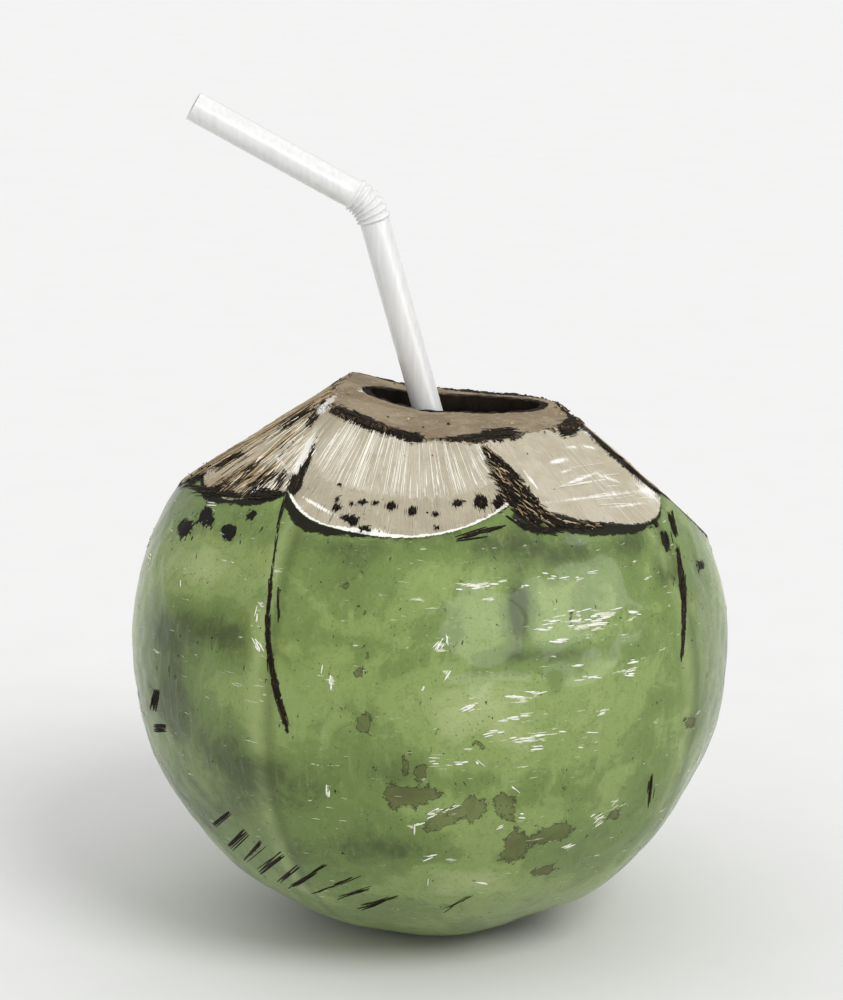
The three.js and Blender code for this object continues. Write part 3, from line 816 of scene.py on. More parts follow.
def shellSide(inset, rough, seed):
    columns = shellMesh["columns"]
    angle = roundCircle(columns)
    edge = nutWall(angle, np.full(columns, nut["mouthTop"]), inset)
    top, _ = cutSurface(edge[:, 0], edge[:, 1])
    around = np.stack((np.cos(angle), np.sin(angle)), -1) * 24
    chips = np.clip(wobble(around, 3, seed + 1) - 0.5, 0, 1)
    top = top - 0.12 + 0.14 * wobble(around, 5, seed) - 0.35 * chips
    mouthMiddle = np.array((nut["mouthX"], nut["mouthY"]))
    rows = []
    for share in np.linspace(0, 1, shellMesh["neckRows"]):
        level = top + (shellMesh["neckBottom"] - top) * share**1.25
        point = nutWall(angle, level, inset)
        point[:, 2] = level
        lump = wobble(point * np.array((1, 1, 0.35)), 3.4, seed + 2) * rough
        lump = lump * smoothStep(0, 0.05, share + 0.02)
        point[:, :2] -= (point[:, :2] - mouthMiddle) / 30 * lump[:, None]
        rows.append(point)
    for level in nutLevels(shellMesh["bowlTop"], shellMesh["bowlRows"]):
        rows.append(nutWall(angle, np.full(columns, level), inset))
    return np.stack(rows)


def buildShell(material):
    outer = shellSide(0.0, shellMesh["outerRough"], 41)
    inner = shellSide(nut["shellThickness"], shellMesh["innerRough"], 51)
    below = heightBelow(nut["mouthTop"] + 2, outer, inner)
    shell = closedWall("shell_inner_nut", outer, inner, below, material)
    shell.data.set_sharp_from_angle(angle=math.radians(50))
    return shell


meatMesh = dict(columns=180, neckRows=22, neckBottom=118, bowlTop=115, bowlRows=26, thinning=7.0)


def meatSide(inset, outerInset, isInner):
    columns = meatMesh["columns"]
    angle = roundCircle(columns)
    around = np.stack((np.cos(angle), np.sin(angle)), -1) * 30
    lip = nut["meatTop"] + 0.7 * wobble(around, 22, 61) + 0.35 * wobble(around, 7, 62) - 0.6
    rows = []
    for share in np.linspace(0, 1, meatMesh["neckRows"]):
        level = lip + (meatMesh["neckBottom"] - lip) * share**1.4
        thin = smoothStep(0, meatMesh["thinning"], lip - level)  # the jelly thins out to a soft lip
        own = blendTo(outerInset + 0.25, inset, np.sqrt(thin)) if isInner else inset
        point = nutWall(angle, level, own)
        point[:, 2] = level
        if isInner:
            lump = (0.22 * wobble(point, 9, 63) + 0.1 * wobble(point, 4, 64)) * thin
            point[:, :2] -= unit(point[:, :2] - np.array((nut["x"], nut["y"]))) * lump[:, None]
        rows.append(point)
    for level in nutLevels(meatMesh["bowlTop"], meatMesh["bowlRows"]):
        rows.append(nutWall(angle, np.full(columns, level), inset))
    return np.stack(rows)


def buildMeat(material):
    outerInset = nut["shellThickness"] + nut["gap"] - 0.05
    outer = meatSide(outerInset, outerInset, False)
    inner = meatSide(nut["wallThickness"], outerInset, True)
    below = heightBelow(nut["meatTop"], outer, inner)
    return closedWall("meat_soft_jelly", outer, inner, below, material)


waterMesh = dict(
    columns=160, surfaceRings=46, wallRows=30,
    lower=0.15, intoWall=0.35,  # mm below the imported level, and into the jelly
    meniscus=0.9, wallReach=1.6, strawReach=1.3, strawShare=0.7, ripple=0.05,
)


def buildWater(material):
    columns = waterMesh["columns"]
    angle = roundCircle(columns)
    inset = nut["wallThickness"] - waterMesh["intoWall"]
    level = nut["waterLevel"] - waterMesh["lower"]
    edge = nutWall(angle, np.full(columns, level), inset)
    middle = strawAt(level)
    rings = []
    for share in np.linspace(0, 1, waterMesh["surfaceRings"])[:-1]:
        ring = middle[:2] + (edge[:, :2] - middle[:2]) * (1 - share**1.15)
        fromWall = np.linalg.norm(edge[:, :2] - ring, axis=-1)
        fromStraw = np.abs(np.linalg.norm(ring - middle[:2], axis=-1) - strawShape["diameter"] / 2)
        rise = np.exp(-fromWall / waterMesh["wallReach"])
        rise = rise + waterMesh["strawShare"] * np.exp(-fromStraw / waterMesh["strawReach"])
        height = level + waterMesh["meniscus"] * rise + waterMesh["ripple"] * wobble(ring, 14, 71)
        rings.append(np.concatenate((ring, height[:, None]), -1))
    levels = nutLevels(level - 1.5, waterMesh["wallRows"])
    wall = np.stack([nutWall(angle, np.full(columns, height), inset) for height in levels])
    peak = (middle[0], middle[1], rings[-1][:, 2].mean())
    points, faces = closedRows(np.concatenate((wall[::-1], rings)), wall[-1].mean(0), peak)
    return makePiece("coconut_water", points, faces, {}, [material])


# Straw: a thin tube with a real bore, and bellows at the bend
strawShape = dict(
    diameter=8.4,
    wall=0.4,
    foot=(24.9, 10.2, 54.6),
    corner=(-16.9, 6.2, 207.8),
    tip=(-65.6, 3.8, 235.4),
    bendReach=5.4,
    folds=6,
    foldHeight=0.8,
    sides=56,
    stepsPerFold=10,
)


def strawAt(height):  # middle of the straw's lower arm at a height
    foot, corner = np.array(strawShape["foot"]), np.array(strawShape["corner"])
    return foot + (corner - foot) * (height - foot[2]) / (corner[2] - foot[2])


def strawLine():
    foot, corner, tip = (np.array(strawShape[k], dtype=float) for k in ("foot", "corner", "tip"))
    start = corner + unit(foot - corner) * strawShape["bendReach"]
    end = corner + unit(tip - corner) * strawShape["bendReach"]
    bendSteps = strawShape["folds"] * strawShape["stepsPerFold"]
    t = np.linspace(0, 1, bendSteps + 1)[:, None]
    bend = (1 - t) ** 2 * start + 2 * t * (1 - t) * corner + t**2 * end
    lower = foot + (start - foot) * np.linspace(0, 1, 40)[:-1, None]
    upper = end + (tip - end) * np.linspace(0, 1, 24)[1:, None]
    line = np.concatenate((lower, bend, upper))
    fold = np.zeros(len(line))
    fold[len(lower):len(lower) + len(bend)] = np.sin(math.pi * strawShape["folds"] * t[:, 0]) ** 2
    return line, fold


def buildStraw(material):
    line, fold = strawLine()
    tangent = unit(np.gradient(line, axis=0))
    across = unit(np.cross(tangent, (0, 1, 0)))
    up = np.cross(across, tangent)
    turn = np.arange(strawShape["sides"]) * 2 * math.pi / strawShape["sides"]
    around = np.cos(turn)[None, :, None] * across[:, None, :] + np.sin(turn)[None, :, None] * up[:, None, :]
    radius = strawShape["diameter"] / 2 + strawShape["foldHeight"] * (fold - 0.12 * (fold > 0))
    outside = line[:, None, :] + around * radius[:, None, None]
    inside = line[:, None, :] + around * (radius - strawShape["wall"])[:, None, None]
    ring = np.concatenate((outside, inside[::-1]))
    columns = strawShape["sides"]
    points = ring.reshape(-1, 3)
    faces = gridFaces(len(ring), columns).tolist()
    here, ahead = np.arange(columns), np.roll(np.arange(columns), -1)
    last = (len(ring) - 1) * columns
    faces += np.stack((last + here, last + ahead, ahead, here), -1).tolist()
    straw = makePiece("bendy_straw", points, faces, {}, [material])
    straw.data.set_sharp_from_angle(angle=math.radians(60))
    return straw


# Fibres: thin flat strands laid on the cuts or torn up from them
class Strands:
    def __init__(self):
        self.paths, self.widths, self.tints, self.lifts = [], [], [], []

    def lay(self, path, width, tint, lift):  # lift: the side that the strand's flat face looks to
        self.paths.append(path)
        self.widths.append(width)
        self.tints.append(np.clip(tint, 0, 1))
        self.lifts.append(np.broadcast_to(lift, path.shape))

    def piece(self, name, material):
        return strandsPiece(name, self.paths, self.widths, self.tints, np.array(self.lifts), material)


# paths: strands x points x 3, lifts: side to lift to
def strandsPiece(name, paths, widths, tints, lifts, material):
    paths = np.asarray(paths)
    count, steps = paths.shape[:2]
    tangent = unit(np.gradient(paths, axis=1))
    side = unit(np.cross(tangent, lifts))
    up = unit(np.cross(side, tangent))
    t = np.linspace(0, 1, steps)
    taper = (0.25 + 0.75 * np.sqrt(np.sin(math.pi * np.clip(t, 0.02, 0.98))))[None, :, None]
    half = np.asarray(widths)[:, None, None] / 2 * taper
    ring = np.stack(
        (paths + side * half, paths + up * half * 0.55, paths - side * half, paths - up * half * 0.55), 2
    )
    points = ring.reshape(-1, 3)
    first = np.arange(count) * steps * 4
    start = first[:, None, None] + (np.arange(steps - 1) * 4)[None, :, None]
    here, there = start + np.arange(4), start + (np.arange(4) + 1) % 4
    quads = np.stack((here, here + 4, there + 4, there), -1).reshape(-1, 4)
    final = first + (steps - 1) * 4
    caps = [(a, a + 1, a + 2, a + 3) for a in first] + [(a + 3, a + 2, a + 1, a) for a in final]
    tint = np.repeat(np.asarray(tints), steps * 4)
    return makePiece(name, points, quads.tolist() + caps, dict(tint=tint), [material])


# for each chop: how many, how dark (0 pale, 1 dark) and how much that varies, narrowest and widest in mm; the
# dark fibres of the left and far left chops are partly painted shade
cutFibres = dict(
    front=(92, 0.02, 0.04, 0.1, 0.22), right=(6, 0.04, 0.05, 0.1, 0.18), left=(320, 0.62, 0.36, 0.16, 0.6),
    farLeft=(230, 0.7, 0.25, 0.2, 0.6), farRight=(120, 0.3, 0.3, 0.15, 0.4),
    rightBack=(150, 0.15, 0.2, 0.15, 0.4),
    back=(260, 0.08, 0.12, 0.12, 0.36), leftBack=(90, 0.35, 0.3, 0.15, 0.45),
)


def buildCutFibres(material):
    rng = np.random.default_rng(81)
    strands = Strands()
    steps = np.linspace(0, 1, 10)
    for name, (count, dark, varies, narrow, wide) in cutFibres.items():
        low, high = turnRange(name)
        normal = chopNormal(name)
        across = rng.uniform(0.03, 0.97, count)
        bunched = rng.random(count) < 0.45
        bunches = rng.choice(rng.uniform(0.03, 0.97, 9), count) + rng.normal(0, 0.022, count)
        across = np.where(bunched, np.clip(bunches, 0.03, 0.97), across)
        turns = low + (high - low) * across
        bandShare = plainBand(name, turns) / alongColumns(turns, cutLength[:, None])[:, 0]
        for turn, lowest in zip(turns, bandShare):
            if name == "left":
                start = rng.uniform(0.03, 0.8) * (1 - 0.35 * (turn - low) / (high - low))
                end = min(0.99, start + rng.uniform(0.05, 0.22))
            else:
                start = lowest + abs(rng.normal(0, 0.012)) if rng.random() < 0.7 else rng.uniform(lowest, 0.8)
                end = min(0.985, start + rng.uniform(0.15, 0.95))
            wander = turn + rng.normal(0, 0.0005) * steps
            wander = wander + 0.0002 * np.sin(steps * rng.uniform(2, 6) + rng.uniform(0, 6))
            path, facet = cutPoint(wander, start + (end - start) * steps)
            if (facet != chopNames.index(name)).any():
                continue
            width = rng.uniform(narrow, wide)
            curl = rng.uniform(0, 0.6) * (rng.random() < 0.08)
            paler = 0
            if name == "left":
                # fibres of the left chop turn paler towards the crease with the front chop: painted highlight
                paler = 0.75 * smoothStep(0.45, 0.9, (turn - low) / (high - low)) + 0.5 * (start - 0.3)
            path = path + normal * (width * 0.1 + curl * steps[:, None] ** 3)
            strands.lay(path, width, rng.normal(dark - paler, varies), normal)
    return strands.piece("fibres_flush_on_cuts", material)


def onChop(name, px, py):  # where the line of sight through a pixel meets a chop
    normal = chopNormal(name)
    ray = rayThrough(px, py)
    far = (normal @ bodyMiddle + coconut["chops"][name][2] - cameraPlace @ normal) / (ray @ normal)
    return cameraPlace + ray * far[..., None]


def onFruit(px, py):  # first point of the cut or the skin along the line of sight through a pixel
    ray = unit(rayThrough(px, py))
    far = np.linspace(840, 1010, 341)
    spots = cameraPlace + ray[:, None, :] * far[None, :, None]
    outside = np.maximum(spots[..., 2] - cutSurface(spots[..., 0], spots[..., 1])[0], -depthBelowSkin(spots))
    first = np.maximum((outside < 0).argmax(1), 1)
    rows = np.arange(len(first))
    before, after = outside[rows, first - 1], outside[rows, first]
    far = far[first - 1] + (far[1] - far[0]) * np.clip(before / np.maximum(before - after, 1e-6), 0, 1)
    missed = (outside >= 0).all(1)
    return np.where(missed[:, None], np.nan, cameraPlace + ray * far[:, None])


obliqueCuts = dict(count=13, left=556, right=648, high=458, low=506, lengthLow=12, lengthHigh=52, fall=-9)


def buildObliqueFibres(material):  # pale strokes that the blade drew across the right chop
    rng = np.random.default_rng(82)
    strands = Strands()
    steps = np.linspace(0, 1, 8)
    normal = chopNormal("right")
    while len(strands.paths) < obliqueCuts["count"]:
        px = rng.uniform(obliqueCuts["left"], obliqueCuts["right"])
        py = rng.uniform(obliqueCuts["high"], obliqueCuts["low"])
        fall = math.radians(rng.normal(obliqueCuts["fall"], 3.5))
        length = rng.uniform(obliqueCuts["lengthLow"], obliqueCuts["lengthHigh"])
        across = px + length * math.cos(fall) * steps
        down = py + length * math.sin(fall) * steps + rng.uniform(-1, 1.5) * steps**2
        path = onChop("right", across, down)
        heights = cutHeights(path[:, 0], path[:, 1])
        clear = np.delete(heights, chopNames.index("right"), 0).min(0) - heights[chopNames.index("right")]
        beside, _ = besideTorn(path[:, 0], path[:, 1])
        if clear.min() < 1.2 or depthBelowSkin(path).min() < 1.0 or beside.min() < 3:
            continue
        width = rng.uniform(0.14, 0.34)
        strands.lay(path + normal * (0.12 + width * 0.1), width, abs(rng.normal(0, 0.05)), normal)
    return strands.piece("fibres_oblique_on_right_cut", material)


tornStrands = dict(  # along a line in the picture, with half widths in pixels beside it
    line=((488, 450), (499, 467), (510, 484), (521, 500), (540, 517), (575, 526), (600, 524)),
    spread=(2, 7, 12, 12, 8, 3, 2),
    count=820, shortest=6, longest=30, fall=42, fallVaries=10, levelsOut=34, darkShare=0.8,
)


def buildTornFibres(material):  # flat slivers torn down and to the right, over the strip beside the ridge
    rng = np.random.default_rng(83)
    look = tornStrands
    strands = Strands()
    steps = np.linspace(0, 1, 8)
    corners, spread = np.array(look["line"], dtype=float), np.array(look["spread"], dtype=float)
    spot = (len(spread) - 1) * rng.random(look["count"]) ** 0.9
    knots = np.arange(len(spread))
    px, py = np.interp(spot, knots, corners[:, 0]), np.interp(spot, knots, corners[:, 1])
    beside = rng.uniform(-1, 1, look["count"]) * np.interp(spot, knots, spread)
    px, py = px + 0.8 * beside, py - 0.6 * beside
    fall = rng.normal(look["fall"], look["fallVaries"], look["count"])
    fall = np.radians(fall - look["levelsOut"] * smoothStep(3.4, 5, spot))
    length = rng.uniform(look["shortest"], look["longest"], look["count"])
    length = length * (0.6 + 0.4 * np.interp(spot, knots, spread) / spread.max())
    for number in range(look["count"]):
        across = px[number] + length[number] * (steps - 0.5) * math.cos(fall[number])
        down = py[number] + length[number] * (steps - 0.5) * math.sin(fall[number])
        down = down + rng.uniform(-1.5, 1.5) * (steps - 0.5) ** 2
        path = onFruit(across, down)
        if np.isnan(path).any() or np.abs(np.diff(path, axis=0)).max() > 4:
            continue
        lift = 0.08 + rng.uniform(0.0, 0.5) * np.sin(math.pi * steps * rng.uniform(0.5, 1.0)) ** 2
        outward = unit(path - bodyMiddle)
        width = rng.uniform(0.16, 0.55)
        dark = rng.random() < look["darkShare"]
        tint = rng.normal(1.0, 0.05) if dark else rng.normal(0.3, 0.16)
        strands.lay(path + outward * lift[:, None], width, tint, outward)
    return strands.piece("fibres_torn_edge", material)


def skinLift(points):  # how far the skin swells out there, in mm
    azimuth = compass(points[..., 0], points[..., 1])
    latitude = np.arcsin(np.clip((points[..., 2] - middleHeight) / coconut["halfHeight"], -1, 1))
    edgeAzimuth = compass(skinEdge[:, 0], skinEdge[:, 1])
    edge = np.arccos(np.clip(np.hypot(skinEdge[:, 0], skinEdge[:, 1]) / bodyReach(edgeAzimuth), 0, 1))
    order = np.argsort(edgeAzimuth)
    top = np.interp(azimuth, edgeAzimuth[order], edge[order])
    share = (latitude - restLatitude) / (top - restLatitude)
    return swellOfSkin(points) * smoothStep(0, 0.05, 1 - share)


def layOnSkin(strands, path, look, rng):  # a strand that lies on the fruit along a path
    outward = unit(path - bodyMiddle)
    width = rng.uniform(*look["widths"])
    lift = skinLift(path) + look["lift"] + 0.1 * width
    strands.lay(path + outward * lift[:, None], width, rng.normal(*look["tint"]), outward)


# a strand's points from a mark's middle, along and across
def strandRun(halfLength, halfWidth, turn, look, length, rng):
    steps = np.linspace(-0.5, 0.5, 7)
    angle = math.radians(turn + rng.normal(0, look["turnVaries"]))
    along = rng.uniform(-1, 1) * max(0, halfLength - 0.4 * length)
    beside = rng.normal(0, 0.5) * halfWidth
    c, s = math.cos(math.radians(turn)), math.sin(math.radians(turn))
    first = along * c - beside * s + length * steps * math.cos(angle)
    return first, along * s + beside * c + length * steps * math.sin(angle)


def strandsOnSkin(name, marks, look, seed, material):  # thin strands laid along marks of the picture
    rng = np.random.default_rng(seed)
    strands = Strands()
    for across, down, halfWidth, halfHeight, turn, strength in marks:
        if halfHeight > halfWidth:
            halfWidth, halfHeight, turn = halfHeight, halfWidth, turn + 90
        count = int(look["fewest"] + strength * halfWidth * halfHeight / look["crowding"])
        for _ in range(min(count, look["most"])):
            length = min(rng.uniform(look["shortest"], look["longest"]), 2.4 * halfWidth)
            px, py = strandRun(halfWidth, halfHeight, turn, look, length, rng)
            path = onFruit(across + px, down + py)
            seen = (unit(path - bodyMiddle) * unit(cameraPlace - path)).sum(-1)
            if np.isnan(path).any() or np.abs(np.diff(path, axis=0)).max() > 5 or seen.min() < 0.12:
                continue
            layOnSkin(strands, path, look, rng)
    return strands.piece(name, material)


# the same strands on the side that the picture doesn't show
def strandsBehind(name, marks, look, seed, material):
    rng = np.random.default_rng(seed)
    strands = Strands()
    for azimuth, latitude, halfLength, halfWidth, turn, count in marks:
        for _ in range(count):
            length = min(pixelSize * rng.uniform(look["shortest"], look["longest"]), 2.4 * halfLength)
            right, up = strandRun(halfLength, halfWidth, turn, look, length, rng)
            angle = np.radians(azimuth) + right / (coconut["width"] / 2 * math.cos(math.radians(latitude)))
            height = np.radians(latitude) + up / coconut["halfHeight"]
            reach = bodyReach(np.degrees(angle)) * np.cos(height)
            level = middleHeight + coconut["halfHeight"] * np.sin(height)
            path = np.stack((reach * np.sin(angle), -reach * np.cos(angle), level), -1)
            if (cutSurface(path[:, 0], path[:, 1])[0] - path[:, 2]).min() < 0.5:
                continue
            layOnSkin(strands, path, look, rng)
    return strands.piece(name, material)


# clusters of flecks round the back: place in degrees, half sizes in mm, turn, strands
def strewnFlecks(count, seed):
    rng = np.random.default_rng(seed)
    ranges = ((74, 286), (-52, 24), (4, 9), (0.8, 2.4), (-8, 5))
    return [(*(rng.uniform(*ends) for ends in ranges), rng.integers(4, 12)) for _ in range(count)]


strokesBehind = (  # place in degrees, half sizes in mm, turn, strands
    (189, 14, 6, 0.5, 88, 8), (190, 2, 8, 0.7, 92, 12), (191, -12, 6, 0.6, 95, 9), (193, -4, 4, 0.4, 90, 3),
    (150, -47, 5, 1.2, 60, 4), (156, -50, 5, 1.0, 57, 4), (163, -49, 4, 1.0, 62, 3),
    (228, -44, 5, 1.2, 122, 5), (246, 4, 3, 1.0, 80, 5), (118, -12, 3, 0.8, 84, 4), (104, 6, 3, 0.7, 96, 4),
)


cutStrokes = dict(
    lift=0.2, fewest=5, most=44, crowding=4.2, shortest=5, longest=22, turnVaries=6.0, widths=(0.16, 0.6),
    tint=(0.97, 0.06),
)
# dark strokes along the dark skin marks: browned strokes, and painted shade under the chops and low on the
# left
barkAndShadeStrokes = dict(
    lift=0.05, fewest=3, most=16, crowding=5.0, shortest=7, longest=34, turnVaries=3.5, widths=(0.2, 0.62),
    tint=(0.97, 0.05),
)
# pale flecks along the pale dashes: painted highlight in front, rubbed wax behind
waxAndHighlightFlecks = dict(
    lift=0.05, fewest=1, most=14, crowding=9.0, shortest=3.5, longest=13, turnVaries=5.0,
    widths=(0.22, 0.62), tint=(0.05, 0.08),
)


rimFrays = dict(count=170, patches=((334, 388, 1.0), (455, 515, 0.8), (560, 580, 1.6), (388, 455, 0.3)))


def buildRimFrays(material):
    rng = np.random.default_rng(84)
    strands = Strands()
    steps = np.linspace(0, 1, 6)
    made = 0
    while made < rimFrays["count"]:
        turn = rng.random()
        share = rng.uniform(0.975, 1.0)
        start, facet = cutPoint(np.array([turn]), np.array([share]))
        px, py = pixelsOf(start)
        keep = 0.15
        if start[0, 1] < 0:
            here = [strength for low, high, strength in rimFrays["patches"] if low < px[0] < high]
            keep = max([0.03] + here)
        if rng.random() > keep:
            continue
        made += 1
        endTurn, endShare = turn + rng.normal(0, 0.005), share - rng.uniform(0.015, 0.06)
        end, _ = cutPoint(np.array([endTurn]), np.array([endShare]))
        path = start[0] + (end[0] - start[0]) * steps[:, None]
        floor, _ = cutSurface(path[:, 0], path[:, 1])
        path[:, 2] = floor + 0.08 + rng.uniform(0, 0.5) * np.sin(math.pi * steps * rng.uniform(0.5, 1))
        strands.lay(path, rng.uniform(0.25, 0.9), rng.normal(0.86, 0.16), (0, -0.35, 0.94))
    return strands.piece("fibres_frayed_rim", material)


# bundles on each chop that the picture doesn't show
tuftsBehind = dict(back=9, rightBack=6, leftBack=5, farLeft=4)


def buildDotTufts(material):  # little brown bundles where fibre ends stand out of the band
    rng = np.random.default_rng(85)
    strands = Strands()
    steps = np.linspace(0, 1, 5)
    starts = []
    for across, down, halfWidth, halfHeight, _, _ in cutMarks["dot"]:
        for _ in range(int(4 + halfWidth * halfHeight / 4)):
            px = across + halfWidth * 0.7 * rng.normal(0, 0.5)
            py = down + halfHeight * 0.7 * rng.normal(0, 0.5)
            starts.append((onChop("front", np.array([px]), np.array([py]))[0], chopNormal("front")))
    for name, tufts in tuftsBehind.items():
        low, high = turnRange(name)
        for _ in range(tufts):
            turn, share = low + (high - low) * rng.uniform(0.12, 0.88), rng.uniform(0.07, 0.22)
            middle = cutPoint(np.array([turn]), np.array([share]))[0][0]
            starts += [
                (middle + rng.normal(0, 0.5, 3) * (1, 1, 0.3), chopNormal(name))
                for _ in range(rng.integers(4, 12))
            ]
    for start, normal in starts:
        if depthBelowSkin(start[None])[0] < 0.2:
            continue
        way = unit(rng.normal(size=3) * (1, 1, 0.2) + np.array((0, -0.6, 0)))
        way = way - normal * (way @ normal) * 0.8
        length = rng.uniform(0.5, 1.5)
        rise = 0.12 + 0.35 * np.sin(math.pi * steps[:, None] * 0.8)
        path = start + way * length * steps[:, None] + normal * rise
        strands.lay(path, rng.uniform(0.2, 0.55), rng.uniform(0.88, 1.0), normal)
    return strands.piece("fibre_ends_in_band", material)


crumbs = dict(count=120, small=0.18, large=0.6)


def buildCrumbs(material):  # loose bits of cut husk, on the chops and round the mouth
    rng = np.random.default_rng(86)
    t = (1 + math.sqrt(5)) / 2
    corners = unit(np.array([
        (-1, t, 0), (1, t, 0), (-1, -t, 0), (1, -t, 0), (0, -1, t), (0, 1, t), (0, -1, -t), (0, 1, -t),
        (t, 0, -1), (t, 0, 1), (-t, 0, -1), (-t, 0, 1)
    ], dtype=float))
    sides = [
        (0, 11, 5), (0, 5, 1), (0, 1, 7), (0, 7, 10), (0, 10, 11), (1, 5, 9), (5, 11, 4), (11, 10, 2),
        (10, 7, 6), (7, 1, 8), (3, 9, 4), (3, 4, 2), (3, 2, 6), (3, 6, 8), (3, 8, 9), (4, 9, 5), (2, 4, 11),
        (6, 2, 10), (8, 6, 7), (9, 8, 1),
    ]
    points, faces, tints = [], [], []
    for _ in range(crumbs["count"]):
        turn = rng.random()
        share = 1 - abs(rng.normal(0, 0.12)) if rng.random() < 0.7 else rng.random()
        if rng.random() < 0.4:
            column = int(turn * huskMesh["columns"])
            mouthSpot = nutWall(rimAngle[column:column + 1], np.array([150.0]), -1.0)[0, :2]
            spot = mouthSpot + (rimEdge[column] - mouthSpot) * rng.uniform(0.3, 0.92)
            height, _ = cutSurface(spot[None, 0], spot[None, 1])
            place = np.array((spot[0], spot[1], height[0]))
        else:
            place = cutPoint(np.array([turn]), np.array([np.clip(share, 0.05, 0.99)]))[0][0]
        size = rng.uniform(crumbs["small"], crumbs["large"]) * (rng.random() ** 0.5)
        shape = corners * rng.uniform(0.6, 1.3, (12, 1)) * size * rng.uniform(0.5, 1.3, 3)
        offset = len(points) * 12
        points.append(shape + place + (0, 0, size * 0.3))
        faces += [tuple(offset + i for i in f) for f in sides]
        tints += [np.clip(rng.normal(0.5, 0.3), 0, 1)] * 12
    values = dict(tint=np.array(tints))
    return makePiece("crumbs_of_husk", np.concatenate(points), faces, values, [material], smooth=False)


class Finish:  # a node material, with short calls for the nodes used here
    def __init__(self, name, **sockets):
        self.material = bpy.data.materials.new(name)
        self.material.use_nodes = True
        self.tree = self.material.node_tree
        self.shader = self.tree.nodes["Principled BSDF"]
        self.colour = None  # the colour so far
        for key, value in sockets.items():
            self.shader.inputs[key.replace("_", " ")].default_value = value

    def node(self, kind, inputs=None, **settings):
        made = self.tree.nodes.new(kind)
        for key, value in settings.items():
            setattr(made, key, value)
        for key, value in (inputs or {}).items():
            self.put(made.inputs[key], value)
        return made

    def put(self, socket, value):
        if isinstance(value, bpy.types.NodeSocket):
            self.tree.links.new(value, socket)
        else:
            socket.default_value = value

    def attribute(self, name, output="Fac"):
        return self.node("ShaderNodeAttribute", attribute_name=name).outputs[output]

    def position(self, stretch=(1, 1, 1)):
        spot = self.node("ShaderNodeTexCoord").outputs["Object"]
        return self.node("ShaderNodeMapping", {"Vector": spot, "Scale": stretch}).outputs["Vector"]

    def stretched(self, vector, stretch):
        return self.node("ShaderNodeMapping", {"Vector": vector, "Scale": stretch}).outputs["Vector"]

    def noise(self, vector, scale, detail, roughness, distortion=0.0):
        made = self.node("ShaderNodeTexNoise", {"Vector": vector, "Scale": scale, "Detail": detail})
        made.inputs["Roughness"].default_value = roughness
        made.inputs["Distortion"].default_value = distortion
        return made.outputs["Fac"]

    def cells(self, vector, scale):
        return self.node("ShaderNodeTexVoronoi", {"Vector": vector, "Scale": scale}).outputs["Distance"]

    def math(self, operation, a, b=0.0):
        return self.node("ShaderNodeMath", {0: a, 1: b}, operation=operation).outputs[0]

    def add(self, a, b):
        return self.math("ADD", a, b)

    def less(self, a, b):
        return self.math("SUBTRACT", a, b)

    def times(self, a, b):
        return self.math("MULTIPLY", a, b)

    def most(self, first, *others):
        for other in others:
            first = self.math("MAXIMUM", first, other)
        return first

    def sum(self, first, *others):  # of values with their weights
        total = self.times(*first)
        for value, weight in others:
            total = self.add(total, self.times(value, weight))
        return total

    def span(self, value, low, high, toLow=0.0, toHigh=1.0, kind="SMOOTHSTEP"):
        inputs = {"Value": value, "From Min": low, "From Max": high, "To Min": toLow, "To Max": toHigh}
        return self.node("ShaderNodeMapRange", inputs, interpolation_type=kind).outputs["Result"]

    def spread(self, noise, low, high):  # most noise lies between 0.3 and 0.7
        return self.span(noise, 0.3, 0.7, low, high, "LINEAR")

    def mix(self, share, a, b):
        made = self.node("ShaderNodeMix", data_type="RGBA")
        for number, value in ((0, share), (6, a), (7, b)):
            value = (*value, 1.0) if isinstance(value, tuple) and len(value) == 3 else value
            self.put(made.inputs[number], value)
        return made.outputs[2]

    def cover(self, share, colour):  # lays a colour over the colour so far
        self.colour = self.mix(share, self.colour, colour)

    def bump(self, height, distance, strength):
        inputs = {"Height": height, "Distance": distance, "Strength": strength}
        return self.node("ShaderNodeBump", inputs).outputs["Normal"]

    def use(self, **sockets):
        for key, value in sockets.items():
            self.put(self.shader.inputs[key.replace("_", " ")], value)
        return self.material


skinFinish = dict(
    wax=0.42,  # weight of the waxy coat where the skin isn't marked
    deep=(0.062, 0.090, 0.024),
    green=(0.150, 0.222, 0.058),
    light=(0.235, 0.32, 0.098),
    pale=(0.37, 0.44, 0.19),
    stain=(0.075, 0.058, 0.026),
    stainEdge=(0.026, 0.022, 0.012),
    burnt=(0.008, 0.006, 0.004),
    # pale dashes: painted highlight, and rubbed wax
    scuffAndHighlight=(0.70, 0.71, 0.56),
)


